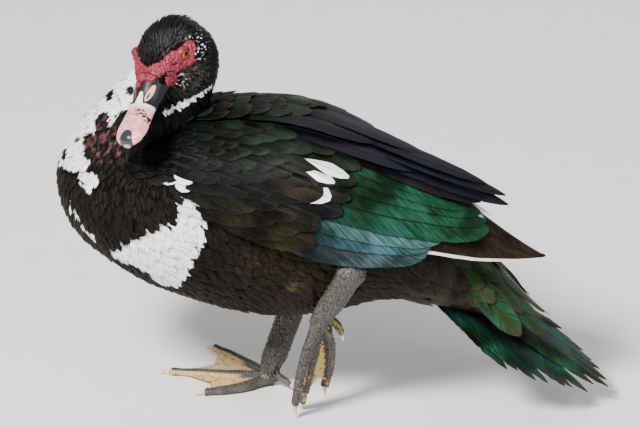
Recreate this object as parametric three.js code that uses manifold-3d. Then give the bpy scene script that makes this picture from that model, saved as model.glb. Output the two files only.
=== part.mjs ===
// A muscovy drake, life size, standing on its right foot with the left toes just touching the floor,
// the neck drawn back and the head turned to its left. Millimetres: +Z up, -X towards the breast,
// +X towards the tail, +Y towards the bird's right. The origin is on the floor, under the middle of
// the bird's bounding box.
import * as THREE from "three";
import { mergeVertices } from "three/addons/utils/BufferGeometryUtils.js";
import Module from "manifold-3d";

const wasm = await Module();
wasm.setup();

// Driving sizes that more than one part uses
const GAP = 0.35; // between touching parts
const FLOOR = 0;
const VANE = 0.7; // thickness of a feather
const LAYER = 1.15; // from one feather to the next, where they lie flat on each other
const TILT = 0.11; // how far a feather of the wing leans over the one below it, as a slope
const LEFT = -1; // the sides, as signs of Y
const RIGHT = 1;

const COLOURS = {
  feathers: { color: 0x1f1c1a, roughness: 0.6, metalness: 0 },
  green: { color: 0x1e5a46, roughness: 0.35, metalness: 0.3 },
  bill: { color: 0xe3a9a6, roughness: 0.4, metalness: 0 },
  eye: { color: 0x8a5a12, roughness: 0.1, metalness: 0 },
  skin: { color: 0x5a5550, roughness: 0.65, metalness: 0 },
  claw: { color: 0xcfc0a8, roughness: 0.4, metalness: 0 },
};

const at = (x, y, z) => new THREE.Vector3(x, y, z);
const lerp = THREE.MathUtils.lerp;
const smooth = THREE.MathUtils.smoothstep;
const radians = THREE.MathUtils.degToRad;

// A seeded draw from -1 to 1, so that feathers vary as real ones do and each build is the same
function drawFrom(seed) {
  let state = seed;
  return () => {
    state = (state * 1664525 + 1013904223) % 4294967296;
    return (state / 4294967296) * 2 - 1;
  };
}

// Closed solids

function solidOf(geometry, place = new THREE.Matrix4()) {
  const bare = geometry.clone().applyMatrix4(place);
  for (const name of Object.keys(bare.attributes))
    if (name !== "position") bare.deleteAttribute(name);
  const merged = mergeVertices(bare, 1e-4);
  const made = new wasm.Manifold(
    new wasm.Mesh({
      numProp: 3,
      vertProperties: merged.attributes.position.array,
      triVerts: new Uint32Array(merged.index.array),
    }),
  );
  return made;
}

// Points and triangles as a solid, turned so that the faces point out
function closed(points, faces) {
  let volume = 0;
  for (let i = 0; i < faces.length; i += 3) {
    const [a, b, c] = [points[faces[i]], points[faces[i + 1]], points[faces[i + 2]]];
    volume += a.dot(b.clone().cross(c));
  }
  const triangles = volume < 0 ? faces.slice().reverse() : faces;
  const geometry = new THREE.BufferGeometry().setFromPoints(points).setIndex(triangles);
  return solidOf(geometry);
}

// A skin through rings of points, closed at both ends
function loft(rings) {
  const sides = rings[0].length;
  const points = rings.flat();
  const faces = [];
  for (let i = 0; i + 1 < rings.length; i++)
    for (let j = 0; j < sides; j++) {
      const a = i * sides + j;
      const b = i * sides + ((j + 1) % sides);
      faces.push(a, b, b + sides, a, b + sides, a + sides);
    }
  for (const [ring, first] of [[0, true], [rings.length - 1, false]]) {
    const middle = points.length;
    const sum = rings[ring].reduce((s, p) => s.add(p), at(0, 0, 0));
    points.push(sum.divideScalar(sides));
    for (let j = 0; j < sides; j++) {
      const a = ring * sides + j;
      const b = ring * sides + ((j + 1) % sides);
      faces.push(...(first ? [b, a, middle] : [a, b, middle]));
    }
  }
  return closed(points, faces);
}

// One oval ring: half a width to each side, and its own height above and below the middle
function ring(middle, side, up, width, above, below, sides) {
  return Array.from({ length: sides }, (_, j) => {
    const angle = (j / sides) * 2 * Math.PI;
    const height = Math.sin(angle) * (Math.sin(angle) > 0 ? above : below);
    return middle.clone().addScaledVector(side, Math.cos(angle) * width).addScaledVector(up, height);
  });
}

// A smooth row of sizes between the stated rows, t from 0 to 1
function between(rows, t) {
  const place = Math.min(Math.max(t, 0), 1) * (rows.length - 1);
  const i = Math.min(Math.floor(place), rows.length - 2);
  const u = place - i;
  const row = (k) => rows[Math.min(Math.max(k, 0), rows.length - 1)];
  return rows[0].map((_, c) => {
    const [p, q, r, s] = [row(i - 1)[c], row(i)[c], row(i + 1)[c], row(i + 2)[c]];
    const bend = (2 * p - 5 * q + 4 * r - s) * u * u + (3 * q - p - 3 * r + s) * u * u * u;
    return 0.5 * (2 * q + (r - p) * u + bend);
  });
}

// The same, found by the first column, which rises from row to row
function rowAt(rows, x) {
  let [low, high] = [0, 1];
  for (let i = 0; i < 30; i++) {
    const middle = (low + high) / 2;
    if (between(rows, middle)[0] < x) low = middle;
    else high = middle;
  }
  return between(rows, low);
}

// A limb or toe: round rings along a path, rows of [x, y, z, half width, half height]
function limb(rows, steps, sides, across, grow = 0) {
  const rings = [];
  for (let i = 0; i <= steps; i++) {
    const [x, y, z, width, height] = between(rows, i / steps);
    const next = between(rows, Math.min(1, i / steps + 0.01));
    const last = between(rows, Math.max(0, i / steps - 0.01));
    const along = at(next[0] - last[0], next[1] - last[1], next[2] - last[2]).normalize();
    const side = across.clone().addScaledVector(along, -across.dot(along)).normalize();
    const up = side.clone().cross(along);
    rings.push(ring(at(x, y, z), side, up, width + grow, height + grow, height + grow, sides));
  }
  return loft(rings);
}

// A thin vane along its frames, each with a place, the way out and the way across.
// Both faces are split alike, so that they never cross.
function vane(frames, thickness = VANE) {
  const points = [];
  for (const { place, out, side, half } of frames)
    for (const [across, up] of [[-1, 1], [1, 1], [1, -1], [-1, -1]])
      points.push(
        place.clone().addScaledVector(side, across * half).addScaledVector(out, (up * thickness) / 2),
      );
  const faces = [0, 2, 1, 0, 3, 2];
  for (let i = 0; i + 1 < frames.length; i++) {
    const [a, b, c, d] = [0, 1, 2, 3].map((k) => i * 4 + k);
    const [e, f, g, h] = [a + 4, b + 4, c + 4, d + 4];
    faces.push(a, b, f, a, f, e, d, g, c, d, h, g);
    faces.push(b, c, g, b, g, f, d, a, e, d, e, h);
  }
  const [e, f, g, h] = [0, 1, 2, 3].map((k) => (frames.length - 1) * 4 + k);
  faces.push(e, f, g, e, g, h);
  return closed(points, faces);
}

// A plate between two grids of points that face each other, (long + 1) rows of (wide + 1)
function plate(top, bottom, long, wide) {
  const points = [...top, ...bottom];
  const row = wide + 1;
  const back = top.length;
  const faces = [];
  for (let i = 0; i < long; i++)
    for (let j = 0; j < wide; j++) {
      const a = i * row + j;
      const [b, c, d] = [a + 1, a + row + 1, a + row];
      faces.push(a, b, c, a, c, d, a + back, c + back, b + back, a + back, d + back, c + back);
    }
  const rim = [];
  for (let i = 0; i < long; i++) rim.push([i * row, (i + 1) * row]);
  for (let j = 0; j < wide; j++) rim.push([long * row + j, long * row + j + 1]);
  for (let i = long; i > 0; i--) rim.push([i * row + wide, (i - 1) * row + wide]);
  for (let j = wide; j > 0; j--) rim.push([j, j - 1]);
  for (const [a, b] of rim) faces.push(a, b, b + back, a, b + back, a + back);
  return closed(points, faces);
}

// How wide a feather is along its length, from the root to a rounded or narrow tip
const OUTLINES = {
  round: [[0, 0.55], [0.3, 0.92], [0.65, 1], [0.87, 0.8], [1, 0.3]],
  long: [[0, 0.5], [0.3, 0.92], [0.65, 1], [0.87, 0.68], [1, 0.16]],
  scale: [[0, 0.7], [0.55, 1], [0.85, 0.78], [1, 0.3]],
  lock: [[0, 0.8], [0.45, 1], [1, 0.14]],
};

// Places feathers: place(s) gives where the vane's middle runs and the way out, s from 0 to 1
function feather(place, half, outline, thickness, lean = 0) {
  const frames = OUTLINES[outline].map(([s, share]) => {
    const here = place(s);
    const before = place(Math.max(0, s - 0.02)).place;
    const along = place(Math.min(1, s + 0.02)).place.clone().sub(before).normalize();
    const side = along.clone().cross(here.out).normalize().addScaledVector(here.out, lean);
    side.normalize();
    return { place: here.place, out: side.clone().cross(along).normalize(), side, half: half * share };
  });
  return vane(frames, thickness);
}

function union(solids) {
  return wasm.Manifold.union(solids);
}

// A node keeps its largest closed surface
function largest(solid) {
  return solid.decompose().sort((a, b) => b.volume() - a.volume())[0];
}

const group = new THREE.Group();
function node(name, solid, material) {
  const { numProp, numVert, vertProperties, triVerts } = largest(solid).getMesh();
  const positions = new Float32Array(numVert * 3);
  for (let i = 0; i < numVert; i++)
    positions.set(vertProperties.subarray(i * numProp, i * numProp + 3), i * 3);
  const geometry = new THREE.BufferGeometry();
  geometry.setAttribute("position", new THREE.BufferAttribute(positions, 3));
  geometry.setIndex(new THREE.BufferAttribute(new Uint32Array(triVerts), 1));
  geometry.computeVertexNormals();
  const mesh = new THREE.Mesh(geometry, new THREE.MeshStandardMaterial(COLOURS[material]));
  mesh.name = name;
  group.add(mesh);
}

// Keeps what lies on the side of a plane that its normal points to
function beyond(solid, point, normal, gap = GAP / 2) {
  return solid.trimByPlane(normal.toArray(), point.dot(normal) + gap);
}

// Torso: x, middle height, half width, height above and below the middle
const TORSO = [
  [-209, 202, 4, 5, 5],
  [-204, 202, 27, 27, 30],
  [-190, 198, 49, 46, 51],
  [-165, 191, 67, 62, 63],
  [-128, 184, 79, 72, 78],
  [-88, 180, 83, 79, 88],
  [-48, 177, 83, 83, 95],
  [-8, 175, 81, 84, 95],
  [32, 173, 76, 76, 86],
  [72, 166, 66, 62, 67],
  [112, 147, 49, 46, 48],
  [150, 119, 32, 26, 25],
  [180, 90, 19, 11, 10],
  [204, 69, 5, 2, 2],
];
const AHEAD = at(1, 0, 0);
const ACROSS = at(0, 1, 0);
const UP = at(0, 0, 1);

function torsoSkin(grow, steps = 20, sides = 20) {
  const rings = [];
  for (let i = 0; i <= steps; i++) {
    const [x, z, width, above, below] = between(TORSO, i / steps);
    const end = i === 0 ? -grow : i === steps ? grow : 0;
    rings.push(ring(at(x + end, 0, z), ACROSS, UP, width + grow, above + grow, below + grow, sides));
  }
  return loft(rings);
}

// Neck: x, y, z, half width, half thickness. It starts inside the breast and ends inside the head.
const NECK = [
  [-122, 0, 160, 64, 56],
  [-134, 0, 190, 66, 66],
  [-139, 0, 218, 60, 63],
  [-130, -1, 248, 47, 48],
  [-115, -4, 274, 37, 38],
  [-103, -7, 297, 32, 34],
  [-100, -7, 315, 31, 33],
  [-103, -9, 331, 25, 27],
  [-107, -11, 344, 10, 12],
];
const neckSkin = (grow) => limb(NECK, 13, 18, ACROSS, grow);

const flesh = union([torsoSkin(0), neckSkin(0)]);
const fleshAndGap = union([torsoSkin(GAP), neckSkin(GAP)]);

// Where the neck is parted from the breast and the tail from the rump
const NECK_FOOT = { point: at(-150, 0, 234), normal: at(-0.444, 0, 0.896).normalize() };
const NECK_MIDDLE = { point: at(-124, -3, 268), normal: at(0.45, -0.12, 0.88).normalize() };
const NAPE = { point: at(-101, -8, 308), normal: at(0.4, 0.15, 0.9).normalize() };
const TAIL_ROOT = { point: at(112, 0, 147), normal: at(0.88, 0, -0.47).normalize() };

// Head: its own frame has x along the bill, y to the bird's left and z out of the crown
const HEAD_PLACE = at(-110, -12, 318);
const HEAD_TURN = radians(70);
const HEAD_DIP = radians(14);
const HEAD_ROLL = radians(13);
const BILL_DIP = radians(12);
const HEAD = [
  [-40, 2, 4, 4, 4],
  [-35, 1, 16, 14, 17],
  [-24, 1, 24.5, 21, 24],
  [-6, 1, 28, 25, 27],
  [10, 0, 27, 23, 26],
  [23, -2, 21.5, 18.5, 21],
  [33, -5, 16.5, 13, 15],
  [40, -6, 14.5, 11, 12],
];
const headFrame = new THREE.Matrix4()
  .makeBasis(
    at(-Math.cos(HEAD_TURN), -Math.sin(HEAD_TURN), 0),
    at(Math.sin(HEAD_TURN), -Math.cos(HEAD_TURN), 0),
    UP,
  )
  .multiply(new THREE.Matrix4().makeRotationY(HEAD_DIP))
  .multiply(new THREE.Matrix4().makeRotationX(HEAD_ROLL))
  .setPosition(HEAD_PLACE);
const inHead = (solid) => solid.transform(headFrame.elements);

function ovalLoft(rows, steps, sides, grow = 0) {
  const rings = [];
  for (let i = 0; i <= steps; i++) {
    const [x, z, width, above, below] = between(rows, i / steps);
    const end = i === 0 ? -grow : i === steps ? grow : 0;
    rings.push(ring(at(x + end, 0, z), ACROSS, UP, width + grow, above + grow, below + grow, sides));
  }
  return loft(rings);
}

// A ball or an oval lump
function lump(place, radii, detail = 1, turn = 0, grow = 0) {
  const matrix = new THREE.Matrix4()
    .makeTranslation(...place.toArray())
    .multiply(new THREE.Matrix4().makeRotationZ(turn))
    .multiply(new THREE.Matrix4().makeScale(...radii.map((r) => r + grow)));
  return solidOf(new THREE.IcosahedronGeometry(1, detail), matrix);
}

const EYE = { x: 9, y: 21.8, z: 7.5, radius: 6.5, turn: radians(18) };
const BILL_BASE = at(35, 0, -6);
const billFrame = new THREE.Matrix4()
  .makeRotationY(BILL_DIP)
  .setPosition(BILL_BASE);

function eyeBall(side, grow) {
  const ball = new THREE.SphereGeometry(EYE.radius + grow, 11, 7);
  return solidOf(ball, new THREE.Matrix4().makeTranslation(EYE.x, side * EYE.y, EYE.z));
}

// The bare red skin: a band of bulbs from the bill's root over the lores to a ring round the eye,
// a shorter band below it and a patch on the cheek
function caruncles(side, grow = 0) {
  const draw = drawFrom(side > 0 ? 11 : 23);
  const bulbs = [];
  const bulb = (place, size) =>
    bulbs.push(lump(place, [size, size * 0.8, size * 0.85], 0, draw() * 3, grow));
  const band = 5;
  for (let i = 0; i < band; i++) {
    const s = i / (band - 1);
    const across = side * lerp(4.5, 22.5, Math.pow(s, 0.6));
    bulb(at(lerp(34.5, 17, s), across, lerp(6, 8, s) + draw() * 0.6), 4 + draw() * 0.4);
  }
  const lower = 3;
  for (let i = 0; i < lower; i++) {
    const s = i / (lower - 1);
    bulb(at(lerp(26, 8, s), side * lerp(18.5, 25.5, s), lerp(-1, -2.5, s)), 3.7 + draw() * 0.4);
  }
  const ringed = 4;
  for (let i = 0; i < ringed; i++) {
    const angle = ((i + 0.4) / ringed) * 2 * Math.PI;
    const out = EYE.y + 2.2 - Math.cos(angle) * 2.6;
    bulb(at(EYE.x + Math.cos(angle) * 9.6, side * out, EYE.z + Math.sin(angle) * 8.8), 3.5);
  }
  bulbs.push(lump(at(22, side * 18.6, -11), [6.5, 4, 6], 1, 0, grow));
  return bulbs;
}

// The rim of the lids, a little longer than high
function lid(side) {
  const rim = new THREE.TorusGeometry(6.2, 1.9, 4, 10);
  const matrix = new THREE.Matrix4()
    .makeTranslation(EYE.x + 0.6, side * (EYE.y + 4.1), EYE.z)
    .multiply(new THREE.Matrix4().makeRotationZ(-side * EYE.turn))
    .multiply(new THREE.Matrix4().makeScale(1.1, 1, 0.92))
    .multiply(new THREE.Matrix4().makeRotationX(Math.PI / 2));
  return solidOf(rim, matrix);
}

// The crest: tapered feathers that lie back over the crown, longer towards the nape. They run
// on an oval over the skull, found by the angle from the bill over the crown and the angle
// to the side.
const CROWN = { middle: at(-6, 0, 1), long: 32, wide: 25.5, high: 25 };
function onCrown(over, sideways, lift) {
  const [c, s] = [Math.cos(sideways), Math.sin(sideways)];
  const [x, z] = [Math.cos(over) * c, Math.sin(over) * c];
  const out = at(x / CROWN.long, s / CROWN.wide, z / CROWN.high).normalize();
  const place = at(x * CROWN.long, s * CROWN.wide, z * CROWN.high).add(CROWN.middle);
  return { place: place.addScaledVector(out, lift), out };
}

function crest(grow = 0) {
  const draw = drawFrom(7);
  const locks = [];
  const rows = 5;
  for (let i = 0; i < rows; i++) {
    const back = i / (rows - 1);
    const over = radians(lerp(36, 140, back));
    const count = i % 2 ? 4 : 5;
    const spread = radians(lerp(20, 28, back));
    for (let j = 0; j < count; j++) {
      const sideways = (j - (count - 1) / 2) * spread + draw() * 0.06;
      const reach = radians(lerp(42, 46, back) + draw() * 4);
      const lie = (s) => onCrown(over + reach * s, sideways, lerp(-2.5, 6.5, Math.pow(s, 0.8)));
      locks.push(feather(lie, 7.4 + grow, "lock", 1.7 + 2 * grow));
    }
  }
  return locks;
}

const headCore = ovalLoft(HEAD, 11, 16);
const billCut = { point: BILL_BASE, normal: at(Math.cos(BILL_DIP), 0, -Math.sin(BILL_DIP)) };
let head = union([
  beyond(headCore, billCut.point, billCut.normal.clone().negate()),
  lump(at(34, -2, 8.5), [4, 3.8, 4], 1),
  ...[1, -1].flatMap((side) => [...caruncles(side), lid(side)]),
  ...crest(),
]);
const eyeRoom = union([eyeBall(1, GAP), eyeBall(-1, GAP)]);
head = head.subtract(eyeRoom);
head = inHead(beyond(head, billCut.point, billCut.normal.clone().negate()));
const nape = beyond(neckSkin(0), NAPE.point, NAPE.normal);
node("head", union([head, nape.subtract(inHead(eyeRoom))]), "feathers");
node("eye_left", inHead(eyeBall(1, 0)), "eye");
node("eye_right", inHead(eyeBall(-1, 0)), "eye");

// The neck in two lengths, hollowed a little where the head sits
const ROOM = 2 * GAP;
const headRoom = inHead(
  union([
    ovalLoft(HEAD, 11, 16, GAP),
    ...crest(ROOM),
    ...caruncles(1, ROOM),
    ...caruncles(-1, ROOM),
  ]),
);
const aboveFoot = beyond(flesh, NECK_FOOT.point, NECK_FOOT.normal);
node(
  "neck_lower",
  beyond(aboveFoot, NECK_MIDDLE.point, NECK_MIDDLE.normal.clone().negate()),
  "feathers",
);
node(
  "neck_upper",
  beyond(
    beyond(aboveFoot, NECK_MIDDLE.point, NECK_MIDDLE.normal).subtract(headRoom),
    NAPE.point,
    NAPE.normal.clone().negate(),
  ),
  "feathers",
);

// Bill: x from its root, middle height, half width, height above and below
const UPPER_BILL = [
  [0.35, -5, 14.5, 18, 0.6],
  [10, -5.3, 13.2, 14, 0.6],
  [22, -5.8, 12.4, 10, 0.6],
  [36, -6.3, 13.6, 8, 0.6],
  [48, -7, 14.6, 7, 0.6],
  [57, -7.8, 12, 6, 0.6],
  [62, -8.6, 6, 3.6, 0.6],
];
const LOWER_BILL = [
  [0.35, -6.1, 12.8, 0.6, 6],
  [14, -6.4, 11.6, 0.6, 4.4],
  [30, -7, 11.6, 0.6, 3.2],
  [46, -7.9, 12.8, 0.6, 2.6],
  [57, -8.8, 9.6, 0.6, 2],
];
const inBill = (solid) => inHead(solid.transform(billFrame.elements));
const nail = lump(at(58.5, 0, -6), [5, 4.8, 4], 1);
const nostrils = union([1, -1].map((side) => lump(at(18, side * 8.6, 2.6), [4.8, 2.4, 2], 0)));
const upperBill = union([ovalLoft(UPPER_BILL, 10, 14), nail]).subtract(nostrils);
const nailRoom = lump(at(58.5, 0, -6), [5, 4.8, 4], 1, 0, 2 * GAP);
const billRoom = union([ovalLoft(UPPER_BILL, 10, 14, GAP), nailRoom]);
node("bill_upper", inBill(beyond(upperBill, at(GAP, 0, 0), AHEAD, 0)), "bill");
node(
  "bill_lower",
  inBill(beyond(ovalLoft(LOWER_BILL, 7, 12).subtract(billRoom), at(GAP, 0, 0), AHEAD, 0)),
  "bill",
);

// The torso, between the neck's foot and the tail's root
const torso = beyond(
  beyond(flesh, NECK_FOOT.point, NECK_FOOT.normal.clone().negate()),
  TAIL_ROOT.point,
  TAIL_ROOT.normal.clone().negate(),
);
node("torso", torso, "feathers");

// The folded wings lie on a mantle round the body: x, middle height, half width, above, below
const MANTLE = [
  [-165, 212, 48, 30, 40],
  [-140, 203, 74, 54, 60],
  [-100, 194, 88, 74, 80],
  [-50, 188, 93, 84, 90],
  [0, 185, 94, 84, 92],
  [50, 178, 91, 75, 86],
  [100, 168, 81, 65, 78],
  [150, 158, 61, 52, 66],
  [200, 150, 33, 32, 44],
  [226, 146, 16, 18, 24],
];
// The right wing's long feathers are tucked lower, under the tips of the left wing's
const RIGHT_MANTLE = MANTLE.map(([x, z, width, above, below]) => {
  const tuck = smooth(x, 20, 190);
  return [x, z - 20 * tuck, width * (1 - 0.42 * tuck), above * (1 - 0.42 * tuck), below];
});

// A place on a shell of such rows and the way out of it: x, and the angle up from level on
// one side, which goes past 90 over the top
function onShell(rows, side, x, degrees, lift) {
  const point = (px, angle) => {
    const [, z, width, above, below] = rowAt(rows, px);
    const height = Math.sin(angle) * (angle > 0 ? above : below);
    return at(px, side * Math.cos(angle) * width, z + height);
  };
  const angle = radians(degrees);
  const here = point(x, angle);
  const alongX = point(x + 2, angle).sub(point(x - 2, angle));
  const alongAngle = point(x, angle + 0.03).sub(point(x, angle - 0.03));
  const out = alongX.cross(alongAngle).normalize().multiplyScalar(-side);
  return { place: here.addScaledVector(out, lift), out };
}

function onMantle(side, x, degrees, lift) {
  return onShell(side < 0 ? MANTLE : RIGHT_MANTLE, side, x, degrees, lift);
}

// A feather on the mantle, from its root through a middle to its tip, each as [x, angle]
function laid(side, [root, middle, tip], half, outline, lift, sunk = 0) {
  const place = (s) => {
    const mix = (k) => (1 - s) * (1 - s) * root[k] + 2 * s * (1 - s) * middle[k] + s * s * tip[k];
    return onMantle(side, mix(0), mix(1), lift - sunk * (1 - s));
  };
  return feather(place, half, outline, VANE, -side * TILT);
}

// The arm of a folded wing: a pad over the body's side, from its front to the flight feathers.
// Rows are x, the lowest and highest angle and how far the pad stands off the mantle.
const ARM = [
  [-146, 28, 64, -7],
  [-128, 20, 72, -5],
  [-105, 13, 79, -4],
  [-70, 9, 84, -2.5],
  [-30, 8, 85, -1],
  [10, 8, 85, 0],
  [40, 4, 84, 0],
];
const ARM_DEPTH = 18;
function pad(side, rows, depth, long, wide) {
  const outer = [];
  const inner = [];
  for (let i = 0; i <= long; i++)
    for (let j = 0; j <= wide; j++) {
      const [x, low, high, full] = between(rows, i / long);
      const t = j / wide;
      const border = Math.min(1, Math.min(t + 0.1, 1.1 - t) * 3.2);
      const lift = lerp(-7, full, Math.sqrt(border));
      const here = onMantle(side, x, lerp(low, high, t), lift);
      outer.push(here.place);
      inner.push(here.place.clone().addScaledVector(here.out, -depth));
    }
  return plate(outer, inner, long, wide);
}

// The long feathers of a wing, from the lowest layer up: root, middle and tip on the mantle,
// half width, outline and how far it lies off the mantle
const LEFT_FLIGHT = [
  { path: [[14, 16], [110, 14], [214, 9]], half: 8, outline: "long", lift: -5 },
  { path: [[14, 26], [110, 24], [204, 20]], half: 9, outline: "long", lift: -5 },
  { path: [[14, 37], [110, 35], [194, 32]], half: 10, outline: "long", lift: -5 },
  { path: [[14, 48], [110, 46], [184, 46]], half: 10, outline: "long", lift: -5 },
  { path: [[8, 8], [62, -1], [124, 9]], half: 15, outline: "round", lift: -1.5 },
  { path: [[8, 20], [66, 12], [124, 20]], half: 14, outline: "round", lift: -1.3 },
  { path: [[8, 32], [82, 26], [164, 29]], half: 15.5, outline: "round", lift: -1.2 },
  { path: [[8, 45], [82, 40], [160, 43]], half: 14, outline: "round", lift: -1 },
  { path: [[4, 57], [76, 53], [156, 56]], half: 13, outline: "round", lift: -0.6 },
  { path: [[-20, 66], [70, 64], [164, 60]], half: 12.5, outline: "long", lift: 1.6 },
  { path: [[-30, 74], [60, 74], [178, 72]], half: 12.5, outline: "long", lift: 1.8 },
  { path: [[-30, 82], [60, 83], [172, 85]], half: 11.5, outline: "long", lift: 2 },
];
const RIGHT_FLIGHT = [
  { path: [[14, 16], [100, 14], [196, 8]], half: 8, outline: "long", lift: -6 },
  { path: [[14, 28], [100, 26], [188, 24]], half: 9, outline: "long", lift: -6 },
  { path: [[14, 41], [100, 39], [177, 40]], half: 9.5, outline: "long", lift: -6 },
  { path: [[8, 8], [62, -1], [124, 9]], half: 15, outline: "round", lift: -1.5 },
  { path: [[8, 20], [66, 12], [124, 21]], half: 13.5, outline: "round", lift: -1.3 },
  { path: [[8, 33], [80, 28], [150, 33]], half: 13, outline: "round", lift: -1.2 },
  { path: [[8, 46], [76, 42], [140, 48]], half: 12, outline: "round", lift: -1 },
  { path: [[4, 58], [66, 55], [126, 60]], half: 11, outline: "round", lift: -0.6 },
  { path: [[-20, 66], [50, 66], [112, 70]], half: 11, outline: "long", lift: 1.8 },
  { path: [[-30, 74], [30, 75], [94, 79]], half: 11, outline: "long", lift: 2 },
  { path: [[-30, 82], [20, 83], [78, 86]], half: 10.5, outline: "long", lift: 2.2 },
];

// The coverts in tiers, from the back to the front: where a tier's roots are, how far it
// reaches, its lowest and highest angle, how many there are and how far the tips stand off
const COVERTS = [
  { x: -22, reach: 62, from: 14, to: 66, count: 5, half: 12.5, lift: 3 },
  { x: -50, reach: 46, from: 14, to: 77, count: 5, half: 13, lift: 2.4 },
  { x: -80, reach: 44, from: 17, to: 77, count: 5, half: 12, lift: 1.4 },
  { x: -108, reach: 42, from: 24, to: 73, count: 4, half: 12, lift: 0.2 },
  { x: -130, reach: 36, from: 38, to: 58, count: 2, half: 11.5, lift: -0.8 },
];

function wing(side, flight, seed) {
  const draw = drawFrom(seed);
  const pieces = [pad(side, ARM, ARM_DEPTH, 8, 6)];
  for (const { path, half, outline, lift } of flight)
    pieces.push(laid(side, path, half, outline, lift));
  for (const { x, reach, from, to, count, half, lift } of COVERTS)
    for (let j = 0; j < count; j++) {
      const angle = lerp(from, to, j / (count - 1)) + draw();
      const root = x + draw() * 2.5;
      const end = root + reach + draw() * 3;
      const path = [[root, angle], [(root + end) / 2, angle - 2], [end, angle - 6]];
      pieces.push(laid(side, path, half, "scale", lift, 6));
    }
  return union(pieces).subtract(fleshAndGap);
}
node("wing_left", wing(LEFT, LEFT_FLIGHT, 3), "green");
node("wing_right", wing(RIGHT, RIGHT_FLIGHT, 5), "green");

// Tail: a fan of long vanes, the middle pair longest and on top, with coverts above and below
const TAIL = { root: at(112, 4, 124), dip: radians(33), length: 184, pairs: 6, fan: 2.6, half: 12 };
const TAIL_SWING = radians(1.5); // the whole tail, to the right
// Coverts on the rump in tiers, from the back to the front: root, reach, angles from the left
// side over the top, or below level, how many and half width
const TAIL_COVERTS = [
  { x: 150, reach: 46, from: 25, to: 155, count: 3, half: 9.5 },
  { x: 124, reach: 46, from: 16, to: 164, count: 4, half: 12 },
  { x: 126, reach: 50, from: -45, to: -135, count: 3, half: 13 },
];
function tail() {
  const back = at(Math.cos(TAIL.dip), 0, -Math.sin(TAIL.dip));
  const out = at(Math.sin(TAIL.dip), 0, Math.cos(TAIL.dip));
  const pieces = [flesh];
  const draw = drawFrom(17);
  const plume = (start, angle, length, half, outline, droop, arch) => {
    const place = (s) => {
      const run = back.clone().multiplyScalar(Math.cos(angle)).addScaledVector(ACROSS, Math.sin(angle));
      const spot = start.clone().addScaledVector(run, length * s);
      return { place: spot.addScaledVector(out, arch * s * (1 - s) - droop * s * s), out };
    };
    pieces.push(feather(place, half, outline, VANE + 0.1));
  };
  for (let k = 0; k < TAIL.pairs; k++)
    for (const side of [LEFT, RIGHT]) {
      const angle = TAIL_SWING + side * radians((k + 0.5) * TAIL.fan);
      const start = TAIL.root
        .clone()
        .add(at(0, side * (k + 0.5) * 2.4, 0))
        .addScaledVector(out, -k * LAYER * 2 - (side > 0 ? LAYER : 0));
      const length = TAIL.length - k * 9 - k * k * 1.2 + draw() * 3;
      plume(start, angle, length, TAIL.half, "long", 3, 6);
    }
  for (const { x, reach, from, to, count, half } of TAIL_COVERTS)
    for (let j = 0; j < count; j++) {
      const angle = lerp(from, to, j / (count - 1)) + draw() * 2;
      const end = reach + draw() * 2;
      const place = (s) => onShell(TORSO, LEFT, x + end * s, angle, lerp(-4, 3.2, s));
      pieces.push(feather(place, half, "scale", VANE + 0.1));
    }
  return beyond(union(pieces), TAIL_ROOT.point, TAIL_ROOT.normal);
}
node("tail", tail(), "green");

// Legs. Rows are x, y, z, half width, half depth, down to the joint that carries the toes.
const LEFT_LEG = {
  shank: [[53, -79, 156, 9, 9.5], [48, -74, 145, 8, 8.5], [38, -65, 124, 6.5, 8], [24, -54, 97, 7.5, 8]],
};
const RIGHT_LEG = {
  thigh: [[-4, 40, 120, 24, 26], [-6, 30, 100, 20, 20], [-8, 22, 84, 14, 14], [-9, 19, 76, 10, 10]],
  shank: [[-9, 19, 76, 9, 9.5], [-12, 18, 64, 7.5, 8.5], [-20, 15, 40, 6.5, 8], [-29, 12, 12, 8, 8]],
};

// Parts a leg at its hock, square to the shank. The raised leg's thigh is within the flank.
function leg(name, rows) {
  const [hx, hy, hz] = rows.shank[0];
  const [sx, sy, sz] = rows.shank[1];
  const down = at(sx - hx, sy - hy, sz - hz).normalize();
  const hock = at(hx, hy, hz);
  const knob = lump(hock, [10.5, 9.5, 10.5], 1);
  let shank = union([limb(rows.shank, 5, 9, ACROSS), knob]);
  if (rows.thigh) {
    const cut = hock.clone().addScaledVector(down, 3);
    const thigh = limb(rows.thigh, 6, 12, ACROSS).subtract(fleshAndGap);
    node("thigh_" + name, beyond(thigh, cut, down.clone().negate()), "feathers");
    shank = beyond(shank, cut, down);
  }
  return { shank: shank.subtract(fleshAndGap), down };
}

// A toe along its path, with a swelling at each joint, then the claw that it carries
function toeRows(path, radius) {
  const curve = new THREE.CatmullRomCurve3(path);
  const knuckles = 3;
  const rows = [];
  const steps = 8;
  for (let i = 0; i <= steps; i++) {
    const s = i / steps;
    const p = curve.getPoint(s);
    const swell = 1 + 0.13 * Math.cos(s * knuckles * 2 * Math.PI);
    const size = lerp(radius, radius * 0.6, s) * swell;
    rows.push([p.x, p.y, p.z, size, size * 0.92]);
  }
  return rows;
}

// A sheet of web between two toes, its free edge hollow
function web(first, second, out, thickness = 1.3) {
  const [long, wide] = [4, 2];
  const [a, b] = [new THREE.CatmullRomCurve3(first), new THREE.CatmullRomCurve3(second)];
  const top = [];
  const bottom = [];
  for (let i = 0; i <= long; i++)
    for (let j = 0; j <= wide; j++) {
      const t = j / wide;
      const s = lerp(0, 0.9 - 0.2 * Math.sin(t * Math.PI), i / long);
      const spot = a.getPoint(s).lerp(b.getPoint(s), t);
      top.push(spot.clone().addScaledVector(out, thickness / 2));
      bottom.push(spot.clone().addScaledVector(out, -thickness / 2));
    }
  return plate(top, bottom, long, wide);
}

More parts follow.
